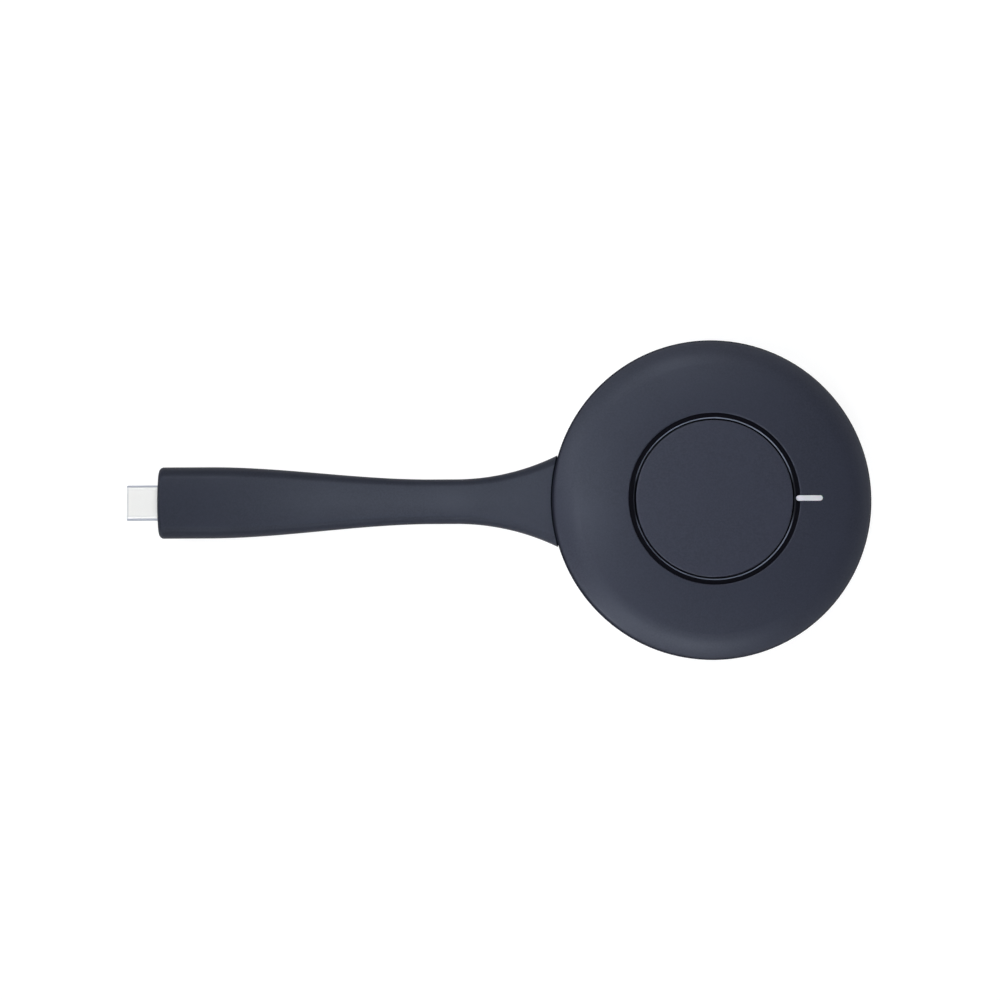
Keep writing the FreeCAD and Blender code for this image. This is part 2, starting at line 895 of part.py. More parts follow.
def switch_body():
    """Push switch under the plunger, with its four legs."""
    half = switch_width / 2
    body = block(-half, half, -half, half, board_top, switch_top)
    bore_bottom = stem_bottom - button_travel - stem_room
    bore = cylinder(stem_radius + stem_clearance, bore_bottom, switch_top + cut_over)
    legs = []
    for y in (leg_inset - half, half - leg_inset):
        low, high = y - leg_width / 2, y + leg_width / 2
        pair = block(-half - leg_reach, half + leg_reach, low, high, board_top, board_top + leg_thickness)
        legs.append(pair)
    return joined([body.cut(bore)] + legs)


def switch_stem():
    """The switch's round push stem."""
    return cylinder(stem_radius, stem_bottom, stem_top)


def standoff_positions():
    """Places of the board's screws."""
    return [
        (board_screw_circle * math.cos(math.radians(a)), board_screw_circle * math.sin(math.radians(a)))
        for a in board_screw_angles
    ]


def clamp_positions():
    """Places of the cable clamp's two screws."""
    return [(clamp_x, -clamp_screw_spacing / 2), (clamp_x, clamp_screw_spacing / 2)]


def bottom_cover():
    """Lower shell: curved side, foot recess, screw towers, board standoffs and the cable's saddle."""
    outer = bowl_solid(0.0, foot_proud, cover_joint_bottom)
    base_edges = [
        e
        for e in outer.Edges
        if abs(e.BoundBox.ZMax - foot_proud) < 1e-6
        and e.BoundBox.ZLength < 1e-6
        and e.BoundBox.XLength > puck_radius
    ]
    outer = outer.makeFillet(base_edge_radius, base_edges)
    lip = ring_of(
        [
            (lip_inner, cover_joint_bottom - lip_root),
            (lip_outer, cover_joint_bottom - lip_root),
            (lip_outer, cover_joint_bottom + lip_height),
            (lip_inner, cover_joint_bottom + lip_height),
        ]
    )
    hollow = bowl_solid(wall, floor_top, cover_joint_bottom + cut_over)
    shell = outer.cut(hollow).fuse(lip)
    recess = cylinder(foot_radius + foot_clearance, 0, foot_thickness)
    shell = shell.cut(recess)
    tower = cylinder(tower_radius, foot_thickness, tower_top, screw_circle)
    posts = [cylinder(standoff_radius, floor_middle, board_bottom, *p) for p in standoff_positions()]
    half_saddle = clamp_length / 2
    saddle = block(
        clamp_x - clamp_width / 2,
        clamp_x + clamp_width / 2,
        -half_saddle,
        half_saddle,
        floor_middle,
        neck_height - clamp_squeeze_gap / 2,
    )
    cover = joined([shell] + around(tower, screw_count, screw_angle) + posts + [saddle])
    head_room = cylinder(
        screw_head_radius + screw_clearance,
        0,
        screw_head_bottom + screw_head_height + seat_clearance,
        screw_circle,
    )
    shank_room = cylinder(screw_radius + screw_clearance, 0, puck_height, screw_circle)
    small = small_screw_radius + thread_clearance
    deep = small_screw_length + small_thread_room
    small_holes = [cylinder(small, board_top - deep, board_top, *p) for p in standoff_positions()]
    small_holes += [cylinder(small, clamp_top - deep, neck_height, *p) for p in clamp_positions()]
    cutters = around(head_room, screw_count, screw_angle) + around(shank_room, screw_count, screw_angle)
    cutters += small_holes + [rod_along(-puck_radius, 0, cable_radius + cable_clearance), neck_cutter()]
    return cover.cut(cutters).Solids[0]


def cable_clamp():
    """Bar that holds the cable down on its saddle."""
    bar = block(
        clamp_x - clamp_width / 2,
        clamp_x + clamp_width / 2,
        -clamp_length / 2,
        clamp_length / 2,
        clamp_bottom,
        clamp_top,
    )
    hump = Part.makeCylinder(
        cable_radius + clamp_hump,
        clamp_width,
        Vector(clamp_x - clamp_width / 2, 0, neck_height),
        Vector(1, 0, 0),
    )
    above = block(-puck_radius, 0, -clamp_length / 2, clamp_length / 2, clamp_bottom, puck_height)
    hump = hump.common(above)
    hole_radius = small_screw_radius + small_screw_clearance
    holes = [cylinder(hole_radius, 0, puck_height, *p) for p in clamp_positions()]
    return joined([bar, hump]).cut(holes + [rod_along(-puck_radius, 0, cable_radius + cable_clearance)])


def small_screw_down(x, y, seat):
    """Small screw driven downwards, its head resting on a seat."""
    one = screw(small_screw_radius, small_head_radius, small_head_height, small_screw_length)
    one.rotate(Vector(0, 0, 0), Vector(1, 0, 0), 180)
    one.translate(Vector(x, y, seat + small_head_height))
    return one


def foot_pad():
    """Rubber disc under the puck, let into the bottom cover and standing proud of it."""
    disc = cylinder(foot_radius, 0, foot_thickness)
    rim = [e for e in disc.Edges if e.BoundBox.ZMax < 1e-6]
    return disc.makeFillet(foot_edge, rim)


def main_board():
    """Round circuit board with a flat on the neck's side and holes for towers and screws."""
    disc = cylinder(board_radius, board_bottom, board_top)
    keep = block(-board_flat, board_radius, -board_radius, board_radius, board_bottom, board_top)
    tower_hole = cylinder(tower_radius + board_hole_clearance, 0, puck_height, screw_circle)
    hole_radius = small_screw_radius + small_screw_clearance
    screw_holes = [cylinder(hole_radius, 0, puck_height, *p) for p in standoff_positions()]
    return disc.common(keep).cut(around(tower_hole, screw_count, screw_angle) + screw_holes).Solids[0]


def shield_can(length, width, angle):
    """Tinned cover over part of the board, open underneath, with corner vents."""
    outer = block(-width / 2, width / 2, -length / 2, length / 2, board_top, board_top + shield_height)
    inner = block(
        shield_wall - width / 2,
        width / 2 - shield_wall,
        shield_wall - length / 2,
        length / 2 - shield_wall,
        board_top,
        board_top + shield_height - shield_wall,
    )
    upright = [e for e in outer.Edges if e.BoundBox.ZLength > shield_height / 2]
    can = outer.makeFillet(shield_corner, upright).cut(inner)
    return at_polar(can, board_radius - shield_margin - width / 2, angle)


def antenna(angle):
    """Stamped strip that stands on the board's edge, with a slot in it."""
    outer = antenna_circle + antenna_thickness
    strip = ring_of(
        [
            (antenna_circle, board_top),
            (outer, board_top),
            (outer, board_top + antenna_height),
            (antenna_circle, board_top + antenna_height),
        ],
        antenna_span,
    )
    middle = board_top + antenna_height / 2
    half_slot = antenna_slot_height * antenna_height / 2
    slot = ring_of(
        [
            (antenna_circle - cut_over, middle - half_slot),
            (outer + cut_over, middle - half_slot),
            (outer + cut_over, middle + half_slot),
            (antenna_circle - cut_over, middle + half_slot),
        ],
        antenna_slot_span * antenna_span,
    )
    return turned(strip.cut(slot), angle - antenna_span / 2).Solids[0]


def chip(length, width, height, x=0.0, y=0.0):
    """A chip lying on the board, its middle at x, y."""
    return block(x - length / 2, x + length / 2, y - width / 2, y + width / 2, board_top, board_top + height)


def board_chips():
    """Processor under the board, and two memory chips, regulator and coil on top inside the hooks."""
    half = processor_width / 2
    memory_x = switch_width / 2 + leg_reach + chip_spacing + memory_width / 2
    free = hook_inner - chip_spacing
    return Part.makeCompound(
        [
            block(-half, half, -half, half, pad_top, board_bottom),
            chip(memory_width, memory_length, memory_height, memory_x),
            chip(memory_width, memory_length, memory_height, -memory_x),
            chip(regulator_length, regulator_width, regulator_height, 0, regulator_width / 2 - free),
            cylinder(coil_radius, board_top, board_top + coil_height, 0, free - coil_radius),
        ]
    )


def heat_spreader():
    """Thin aluminium disc on the floor that takes heat from the processor."""
    return cylinder(spreader_radius, floor_top, spreader_top)


def thermal_pad():
    """Soft pad between heat spreader and processor."""
    half = processor_width / 2 + pad_overhang
    return block(-half, half, -half, half, spreader_top, pad_top)


def cable_header():
    """Socket under the board for the cable's connector."""
    half = header_length / 2
    bottom = board_bottom - header_height
    body = block(header_front_x, header_x, -half, half, bottom, board_bottom)
    pocket = block(
        header_front_x - cut_over,
        header_x - header_back_wall,
        header_side_wall - half,
        half - header_side_wall,
        bottom + header_wall,
        board_bottom - header_wall,
    )
    return body.cut(pocket)


def cable_connector():
    """Crimp housing at the end of the wires, partly in its socket."""
    half = header_length / 2 - header_side_wall - connector_side_gap
    tall = header_height / 2 - header_wall - connector_height_gap
    rear = connector_front_x + connector_length
    return block(connector_front_x, rear, -half, half, connector_middle - tall, connector_middle + tall)


def cable_wires():
    """Four wires from the cable's end down to the connector under the board."""
    start_x = cable_rear_x + wire_seat
    end_x = connector_front_x - wire_seat
    run = end_x - start_x
    wires = []
    for i in range(wire_count):
        y = (i - (wire_count - 1) / 2) * wire_pitch
        route = [
            Vector(start_x, y, neck_height),
            Vector(start_x + wire_drop_start * run, y, neck_height),
            Vector(start_x + wire_drop_end * run, y, connector_middle),
            Vector(end_x, y, connector_middle),
        ]
        wires.append(round_tube(route, wire_radius))
    return Part.makeCompound(wires)


def round_tube(route, radius):
    """Tube along straight runs joined by tangent arcs, each as large as its two runs allow."""
    edges = []
    here = route[0]
    for before, corner, after in zip(route[:-2], route[1:-1], route[2:]):
        back = (before - corner).normalize()
        ahead = (after - corner).normalize()
        half_turn = (math.pi - back.getAngle(ahead)) / 2
        shorter = min(before.distanceToPoint(corner), corner.distanceToPoint(after))
        tangent = bend_share * shorter
        bend = tangent / math.tan(half_turn)
        first = corner + back * tangent
        last = corner + ahead * tangent
        inward = (back + ahead).normalize()
        middle = corner + inward * (bend / math.cos(half_turn) - bend)
        edges.append(Part.LineSegment(here, first).toShape())
        edges.append(Part.Arc(first, middle, last).toShape())
        here = last
    edges.append(Part.LineSegment(here, route[-1]).toShape())
    path = Part.Wire(edges)
    start_way = (route[1] - route[0]).normalize()
    section = Part.Wire([Part.makeCircle(radius, route[0], start_way)])
    return path.makePipeShell([section], True, False)


def cable_core():
    """Round cable through the neck, from the plug's mould to the clamp in the puck."""
    return rod_along(cable_front_x, cable_rear_x, cable_radius)


def plug_shell():
    """Drawn steel shell of the plug."""
    shell = plug_form(plug_tip_x, plug_rear_x)
    front = min(shell.Faces, key=lambda face: face.CenterOfMass.x)
    shell = shell.makeFillet(plug_edge, front.Edges)
    return shell.cut(plug_form(plug_tip_x - cut_over, plug_rear_x + cut_over, plug_wall)).Solids[0]


def plug_insulator():
    """Black moulding inside the shell, with the slot that takes the socket's tongue."""
    start = plug_tip_x + insulator_recess
    body = plug_form(start, plug_rear_x, plug_wall + insulator_clearance)
    slot = block(
        start - cut_over,
        plug_rear_x + cut_over,
        -tongue_width / 2,
        tongue_width / 2,
        neck_height - tongue_height / 2,
        neck_height + tongue_height / 2,
    )
    return body.cut(slot).Solids[0]


def plug_contacts():
    """Two rows of contact blades on the slot's upper and lower walls, reaching back onto the card."""
    x0 = plug_tip_x + contact_recess
    x1 = card_front_x + contact_overlap
    outer = tongue_height / 2 - close_fit
    inner = outer - contact_thickness
    blades = []
    for i in range(contact_count):
        y = (i - (contact_count - 1) / 2) * contact_pitch
        for side in (-1, 1):
            z0, z1 = sorted((neck_height + side * inner, neck_height + side * outer))
            blades.append(block(x0, x1, y - contact_width / 2, y + contact_width / 2, z0, z1))
    return Part.makeCompound(blades)


def plug_latches():
    """Two side springs that grip the socket's tongue."""
    x0 = plug_tip_x + contact_recess
    outer = tongue_width / 2 - latch_seat
    half = tongue_height / 2 - contact_thickness - latch_gap
    strips = []
    for side in (-1, 1):
        y0, y1 = sorted((side * outer, side * (outer - latch_thickness)))
        strips.append(block(x0, x0 + latch_length, y0, y1, neck_height - half, neck_height + half))
    return Part.makeCompound(strips)


def plug_card():
    """Small circuit board behind the contacts."""
    half = card_width / 2
    bottom = neck_height - card_half_thickness
    return block(card_front_x, card_rear_x, -half, half, bottom, neck_height + card_half_thickness)


def plug_can():
    """Folded steel can round the card, open at both ends."""
    x0 = plug_rear_x + can_front_gap
    outer = bar_along(x0, can_rear_x, can_half_width, can_half_height, can_corner_radius)
    inner = bar_along(
        x0 - cut_over,
        can_rear_x + cut_over,
        can_half_width - can_wall,
        can_half_height - can_wall,
        can_corner_radius - can_wall,
    )
    return outer.cut(inner)


def plug_mould():
    """Rigid inner mould of the grip, hollow round the card's can, with a cone round the cable."""
    gap = can_gap / 2
    room = bar_along(
        plug_rear_x + close_fit,
        can_rear_x + gap,
        can_half_width + gap,
        can_half_height + gap,
        can_corner_radius,
    )
    hollow = [
        plug_form(plug_tip_x, plug_rear_x + can_front_gap, -close_fit),
        room,
        rod_along(card_rear_x, 0, cable_radius + cable_clearance),
    ]
    return inner_mould_form().cut(hollow).Solids[0]


def plug_wires():
    """Wire ends between the cable and the card's pads, two on each side of the card."""
    x0 = card_rear_x - card_pad_length
    x1 = cable_front_x - wire_seat
    y = wire_radius + wire_side_gap
    z = card_half_thickness + wire_radius + wire_seat
    places = [(y, z), (-y, z), (y, -z), (-y, -z)]
    return Part.makeCompound([rod_along(x0, x1, wire_radius, *place) for place in places])


def housing_screws():
    """Four screws that hold the two covers together."""
    one = screw(screw_radius, screw_head_radius, screw_head_height, screw_length)
    one.translate(Vector(screw_circle, 0, screw_head_bottom))
    return Part.makeCompound(around(one, screw_count, screw_angle))


PIECES = {
    "top_cover": top_cover,
    "bottom_cover": bottom_cover,
    "foot_pad": foot_pad,
    "housing_screws": housing_screws,
    "light_ring": light_ring,
    "light_guide": light_guide,
    "status_bar": status_bar,
    "button_cap": button_cap,
    "button_retainer": button_retainer,
    "return_foam": return_foam,
    "switch_body": switch_body,
    "switch_stem": switch_stem,
    "main_board": main_board,
    "board_screws": lambda: Part.makeCompound(
        [small_screw_down(x, y, board_top) for x, y in standoff_positions()]
    ),
    "status_leds": status_leds,
    "radio_shield": lambda: shield_can(radio_length, radio_width, radio_angle),
    "power_shield": lambda: shield_can(power_length, power_width, power_angle),
    "antenna_left": lambda: antenna(antenna_angles[0]),
    "antenna_right": lambda: antenna(antenna_angles[1]),
    "board_chips": board_chips,
    "heat_spreader": heat_spreader,
    "thermal_pad": thermal_pad,
    "cable_header": cable_header,
    "cable_connector": cable_connector,
    "cable_wires": cable_wires,
    "cable_clamp": cable_clamp,
    "clamp_screws": lambda: Part.makeCompound(
        [small_screw_down(x, y, clamp_top) for x, y in clamp_positions()]
    ),
    "cable_core": cable_core,
    "neck_overmould": neck_overmould,
    "plug_mould": plug_mould,
    "plug_shell": plug_shell,
    "plug_insulator": plug_insulator,
    "plug_contacts": plug_contacts,
    "plug_latches": plug_latches,
    "plug_card": plug_card,
    "plug_can": plug_can,
    "plug_wires": plug_wires,
}


def main():
    """Writes one STEP file for each piece."""
    os.makedirs("parts", exist_ok=True)
    for name, make in PIECES.items():
        shape = make()
        if not shape.isValid() or shape.Volume <= 0:
            print("not valid:", name)
        print(f"{name:18s} solids {len(shape.Solids):2d}  volume {shape.Volume:9.2f}")
        shape.exportStep(os.path.join("parts", name + ".step"))


main()
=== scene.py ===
"""Looks of a wireless screen sharing dongle: a round puck with a button, a soft neck and a plug.

The scene is in metres and in the CAD frame: the puck's axis is the Z axis, neck and plug run along -X.
Named sizes are in millimetres where the comment above them says so.
"""

import math

import bpy
from mathutils import Matrix, Vector


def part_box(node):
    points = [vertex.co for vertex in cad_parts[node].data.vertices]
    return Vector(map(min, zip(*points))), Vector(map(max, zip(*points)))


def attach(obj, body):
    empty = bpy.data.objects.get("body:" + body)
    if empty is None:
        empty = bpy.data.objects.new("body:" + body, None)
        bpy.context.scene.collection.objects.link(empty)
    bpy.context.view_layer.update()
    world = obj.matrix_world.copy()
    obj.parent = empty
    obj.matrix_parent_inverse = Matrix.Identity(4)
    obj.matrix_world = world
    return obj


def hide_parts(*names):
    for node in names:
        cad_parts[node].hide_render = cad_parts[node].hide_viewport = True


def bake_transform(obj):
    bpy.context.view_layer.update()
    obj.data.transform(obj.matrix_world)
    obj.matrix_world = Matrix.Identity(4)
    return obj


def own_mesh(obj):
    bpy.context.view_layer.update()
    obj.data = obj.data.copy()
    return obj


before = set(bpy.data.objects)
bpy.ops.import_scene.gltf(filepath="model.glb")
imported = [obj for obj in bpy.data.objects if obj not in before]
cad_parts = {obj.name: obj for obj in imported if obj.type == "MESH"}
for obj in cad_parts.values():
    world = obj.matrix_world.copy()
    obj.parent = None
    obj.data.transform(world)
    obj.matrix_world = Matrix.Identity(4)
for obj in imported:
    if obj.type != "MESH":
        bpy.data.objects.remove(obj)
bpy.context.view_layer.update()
MM = 0.001

# Sizes of the CAD model that both shapes and finishes repeat, in millimetres
PUCK_RADIUS = 37.2
GROOVE = {"width": 0.3, "depth": 0.35}
TINY_GAP = 0.02

# Worn edges: how far a rounded edge leans from its faces, and the spots in which hands have worn it
EDGE_LEAN = (0.02, 0.25)
EDGE_SAMPLES = 4
WORN_SPOTS = 0.9
WORN_LIMITS = (0.35, 0.65)
WORN_LEAST = 0.3


# Node trees
class Signal:
    """An output socket that takes part in sums: each operator adds a Math node."""

    def __init__(self, net, socket):
        self.net = net
        self.socket = socket

    def __add__(self, other):
        return self.net.math("ADD", self, other)

    def __sub__(self, other):
        return self.net.math("SUBTRACT", self, other)

    def __rsub__(self, other):
        return self.net.math("SUBTRACT", other, self)

    def __mul__(self, other):
        return self.net.math("MULTIPLY", self, other)

    def __truediv__(self, other):
        return self.net.math("DIVIDE", self, other)

    def __gt__(self, other):
        return self.net.math("GREATER_THAN", self, other)

    def __lt__(self, other):
        return self.net.math("LESS_THAN", self, other)

    __radd__ = __add__
    __rmul__ = __mul__


class Net:
    """The node tree of one material, of the world or of one geometry modifier."""

    def __init__(self, tree):
        self.tree = tree

    def node(self, kind, settings=(), inputs=(), output=0):
        """Adds a node, sets its settings first and then its sockets, and gives one output."""
        made = self.tree.nodes.new(kind)
        for name, value in dict(settings).items():
            setattr(made, name, value)
        for name, value in dict(inputs).items():
            if isinstance(value, Signal):
                self.tree.links.new(value.socket, made.inputs[name])
            else:
                made.inputs[name].default_value = value
        return Signal(self, made.outputs[output]) if made.outputs else made

    def math(self, operation, *values):
        """One Math node."""
        return self.node("ShaderNodeMath", {"operation": operation}, dict(enumerate(values)))

    def dot(self, first, second):
        """How far two unit vectors point the same way."""
        return self.node("ShaderNodeVectorMath", {"operation": "DOT_PRODUCT"}, {0: first, 1: second}, 1)

    def ease(self, value, low, high, at_low=0.0, at_high=1.0):
        """Smooth step of a value between two limits, held outside them."""
        sockets = {"Value": value, "From Min": low, "From Max": high, "To Min": at_low, "To Max": at_high}
        return self.node("ShaderNodeMapRange", {"interpolation_type": "SMOOTHSTEP"}, sockets)

    def blend(self, factor, first, second):
        """Colour between two colours."""
        sockets = {0: factor, 6: opaque(first), 7: opaque(second)}
        return self.node("ShaderNodeMix", {"data_type": "RGBA"}, sockets, 2)

    def split(self, vector):
        """The x, y and z of a vector."""
        made = self.node("ShaderNodeSeparateXYZ", (), {0: vector})
        return [Signal(self, socket) for socket in made.socket.node.outputs]

    def rays(self, *kinds):
        """1 for a ray of any of these kinds, and 0 for all others."""
        outputs = self.node("ShaderNodeLightPath").socket.node.outputs
        seen = Signal(self, outputs[kinds[0]])
        for kind in kinds[1:]:
            seen = self.math("MAXIMUM", seen, Signal(self, outputs[kind]))
        return seen

    def mix(self, factor, first, second):
        """Shader between two shaders."""
        return self.node("ShaderNodeMixShader", (), {0: factor, 1: first, 2: second})


def opaque(colour):
    """A colour with its alpha, or a link as it is."""
    return colour if isinstance(colour, Signal) else (*colour, 1.0)


class Finish(Net):
    """A material's tree, with the patterns that its finish is made of."""

    def __init__(self, name):
        self.material = bpy.data.materials.new(name)
        self.material.use_nodes = True
        super().__init__(self.material.node_tree)
        self.tree.nodes.clear()
        self.place = self.node("ShaderNodeTexCoord", (), (), 3)

    def noise(self, size, detail=3.0, stretch=None):
        """Cloudy pattern from 0 to 1 whose spots have about this size in millimetres."""
        place = self.place
        if stretch:
            place = self.node("ShaderNodeMapping", (), {"Vector": place, "Scale": stretch})
        sockets = {"Vector": place, "Scale": 1.0 / (size * MM), "Detail": detail}
        return self.node("ShaderNodeTexNoise", (), sockets)

    def spots(self, size, low, high, detail=3.0):
        """Spots of about this size in millimetres, where the cloudy pattern climbs from low to high."""
        return self.ease(self.noise(size, detail), low, high)

    def cells(self, size):
        """Distance from the middle of rounded cells of about this size in millimetres."""
        sockets = {"Vector": self.place, "Scale": 1.0 / (size * MM)}
        return self.node("ShaderNodeTexVoronoi", {"feature": "SMOOTH_F1"}, sockets)

    def zone(self, value, limits, at_low=0.0, at_high=1.0):
        """Smooth step of a length between two limits in millimetres."""
        low, high = limits
        return self.ease(value, low * MM, high * MM, at_low, at_high)

    def from_axis(self):
        """Distance from the puck's axis."""
        x, y, _ = self.split(self.place)
        return self.math("SQRT", x * x + y * y)

    def edges(self, radius, amount):
        """Where an edge is sharp within a radius in millimetres, broken up as by handling."""
        rounded = self.node("ShaderNodeBevel", {"samples": EDGE_SAMPLES}, {"Radius": radius * MM})
        facing = self.node("ShaderNodeNewGeometry", (), (), 1)
        sharp = self.ease(1.0 - self.dot(rounded, facing), *EDGE_LEAN)
        handled = self.ease(self.noise(WORN_SPOTS), *WORN_LIMITS, WORN_LEAST)
        return sharp * handled * amount

    def relief(self, height, depth):
        """Normal of a surface raised by height times depth in millimetres."""
        return self.node("ShaderNodeBump", (), {"Height": height, "Distance": depth * MM})

    def shader(self, colour, roughness, normal, **constants):
        """The usual surface shader; other sockets keep one value all over."""
        sockets = {"Base Color": opaque(colour), "Roughness": roughness, "Normal": normal}
        sockets.update({name.replace("_", " "): value for name, value in constants.items()})
        return self.node("ShaderNodeBsdfPrincipled", (), sockets)

    def finish(self, shader):
        """Ends the tree with a shader."""
        self.node("ShaderNodeOutputMaterial", (), {"Surface": shader})
        return self.material

    def surface(self, colour, roughness, normal, **constants):
        """Ends the tree with the usual surface shader."""
        return self.finish(self.shader(colour, roughness, normal, **constants))


def tone(colour, factor):
    """A colour made lighter or darker."""
    return tuple(min(1.0, c * factor) for c in colour)


# Colours, linear
BLACK = (0.0, 0.0, 0.0)
WHITE = (1.0, 1.0, 1.0)
SLATE = (0.0229, 0.0248, 0.0378)
SLATE_BUTTON = (0.0268, 0.0286, 0.0431)
SLATE_NECK = (0.0182, 0.0201, 0.0316)
COAT_SHINE = (0.84, 0.90, 1.0)
SMOKED_BLACK = (0.004, 0.004, 0.006)
SMOKED_DUST = (0.05, 0.054, 0.062)
# Colour of the painted highlight line on the ring's chamfer
RING_LINE_HIGHLIGHT = (0.30, 0.34, 0.44)
WHITE_DIFFUSER = (0.562, 0.556, 0.598)
OPAL = (0.70, 0.71, 0.70)
LAMP_GLOW = (0.95, 0.97, 1.0)
PALE_NICKEL = (0.955, 0.935, 0.90)
# Darker nickel: painted shade on the plug's round sides and mouth
NICKEL_SHADED_SIDE = (0.40, 0.42, 0.48)
RUBBER = (0.016, 0.017, 0.020)
STEEL = (0.62, 0.62, 0.61)
TIN = (0.55, 0.55, 0.53)
SPRING_STEEL = (0.50, 0.49, 0.46)
ALUMINIUM = (0.58, 0.59, 0.60)
GOLD = (0.83, 0.58, 0.22)
MOULD_BLACK = (0.012, 0.012, 0.013)
MASK_GREEN = (0.006, 0.060, 0.022)
COPPER_UNDER_MASK = (0.012, 0.105, 0.034)
TINNED_EDGE = (0.30, 0.27, 0.15)
EPOXY_BLACK = (0.010, 0.010, 0.011)
EPOXY_CLOUD = (0.017, 0.017, 0.018)
EPOXY_WORN = (0.05, 0.05, 0.052)
IVORY = (0.62, 0.57, 0.44)
LAMP_WHITE = (0.75, 0.76, 0.74)
PHOSPHOR = (0.80, 0.62, 0.10)
FOAM_GREY = (0.085, 0.087, 0.092)
PAD_BLUE_GREY = (0.20, 0.24, 0.27)
JACKET_BLACK = (0.018, 0.018, 0.019)
WIRE_COLOURS = ((0.50, 0.02, 0.02), (0.62, 0.62, 0.60), (0.02, 0.22, 0.05), (0.02, 0.02, 0.02))
WIRE_DUST = (0.08, 0.08, 0.08)

# Places where a finish changes, in millimetres
# Where the ring's painted highlight line lies, and how it fades
RING_LINE_OUT = 0.50
RING_LINE_EDGE = (0.10, 0.15)
RING_LIP_HEIGHT = (13.7, 14.0)
RING_LINE_AT_SIDES = (3.0, 9.0)
RING_LINE_AT_ENDS = (15.0, 18.6)
RING_LINE_ALONG = (-14.0, 14.0)
# Where the plug's painted shade lies
PLUG_SIDE = (3.45, 3.75)
PLUG_ROUND = (2.80, 3.00)
PLUG_MOUTH = (-135.55, -135.15)
WIRE_PITCH = 0.85
LATHE_PITCH = 0.35
TRACE_LANE = 0.45
TRACE_CROSS = 0.5


def soft_touch(name, colour, shine, grain_depth, fade, duller, corner=None):
    """Satin plastic with a soft-touch coat: fine grain, faint hand-worn patches, polished edges.

    Sides that lean beyond the fade (as the normal's height) lose their sheen and get painted shade, a
    darker colour, by the share duller.
    Where corner says so, painted shade takes the rest of the light away.
    """
    f = Finish(name)
    grain = f.noise(0.22, 2.0)
    mottle = f.spots(0.40, 0.30, 0.70)
    hands = f.spots(16.0, 0.38, 0.66, 4.0)
    specks = f.spots(0.6, 0.70, 0.82, 2.0)
    worn = f.edges(0.35, 0.35)
    base = f.blend(mottle, tone(colour, 0.86), tone(colour, 1.14))
    base = f.blend(hands * 0.4, base, tone(colour, 1.18))
    base = f.blend(specks * 0.10, base, tone(colour, 1.6))
    base = f.blend(worn, base, tone(colour, 1.7))
    # Painted shade: steep sides take a darker copy of the colour and lose their sheen
    dull = f.blend(0.4, base, BLACK)
    _, _, up = f.split(f.node("ShaderNodeTexCoord", (), (), 1))
    matt_and_shade = (1.0 - f.ease(f.math("ABSOLUTE", up), *fade)) * duller
    if corner:
        # Painted shade in the groove: a much darker colour and no sheen
        dust_and_shade = corner(f)
        dull = f.blend(dust_and_shade, dull, tone(colour, 0.25))
        matt_and_shade = f.math("MAXIMUM", matt_and_shade, dust_and_shade)
    rough = 0.45 - hands * 0.04 - worn * 0.10 + grain * 0.03
    normal = f.relief(grain, grain_depth)
    coat = f.shader(base, rough, normal, Specular_IOR_Level=shine, Specular_Tint=opaque(COAT_SHINE))
    side = f.shader(dull, rough, normal, Specular_IOR_Level=0.0)
    return f.finish(f.mix(matt_and_shade, coat, side))


def shade_by_the_puck(f):
    """Where painted shade lies: the floor and the wall of the groove where the neck enters the puck."""
    return f.from_axis() < (PUCK_RADIUS + GROOVE["width"] + TINY_GAP) * MM


def moulded(name, colour, roughness, grain=0.35, depth=0.006, shine=0.5):
    """Plain moulded plastic or rubber with a fine grain and slightly lighter edges."""
    f = Finish(name)
    fine = f.noise(grain)
    cloud = f.noise(7.0)
    worn = f.edges(0.18, 0.4)
    base = f.blend(f.ease(cloud, 0.35, 0.7) * 0.5, colour, tone(colour, 1.25))
    base = f.blend(worn, base, tone(colour, 1.8))
    rough = roughness + (cloud - 0.5) * 0.14 - worn * 0.08
    return f.surface(base, rough, f.relief(fine, depth), Specular_IOR_Level=shine)


def drawn_metal(name, colour, roughness, along=(1.0, 14.0, 14.0), depth=0.0015):
    """Bare metal with fine lines from drawing or rolling, dull patches and bright edges."""
    f = Finish(name)
    lines = f.noise(0.35, 4.0, along)
    haze = f.spots(3.0, 0.35, 0.7, 4.0)
    bright = f.edges(0.10, 0.6)
    base = f.blend(haze * 0.35, colour, tone(colour, 0.86))
    base = f.blend(bright, base, tone(colour, 1.2))
    rough = roughness + haze * 0.10 + (lines - 0.5) * 0.10 - bright * 0.05
    return f.surface(base, rough, f.relief(lines, depth), Metallic=1.0)


def satin_nickel(name):
    """Pale satin plating of the plug: an even face; painted shade where it starts to round, on its
    rougher round sides and along the rim at its mouth.
    """
    f = Finish(name)
    x, y, _ = f.split(f.place)
    across = f.math("ABSOLUTE", y)
    side = f.zone(across, PLUG_SIDE)
    shaded_round_start = f.zone(across, PLUG_ROUND)
    mouth = 1.0 - f.zone(x, PLUG_MOUTH)
    lines = f.noise(0.30, 4.0, (1.0, 12.0, 12.0))
    # Painted shade: darker and less metallic where the sides start to round, darker nickel on the sides
    # and at the mouth
    base = f.blend(shaded_round_start * 0.6, PALE_NICKEL, tone(PALE_NICKEL, 0.85))
    base = f.blend(side, base, NICKEL_SHADED_SIDE)
    base = f.blend(mouth * 0.35, base, NICKEL_SHADED_SIDE)
    base = f.blend(f.spots(1.2, 0.5, 0.8, 4.0) * 0.05, base, tone(PALE_NICKEL, 0.8))
    rough = 0.30 + (lines - 0.5) * 0.08 + side * 0.10
    metal = 0.18 - shaded_round_start * 0.14 + side * 0.5
    return f.surface(base, rough, f.relief(lines, 0.0005), Metallic=metal)


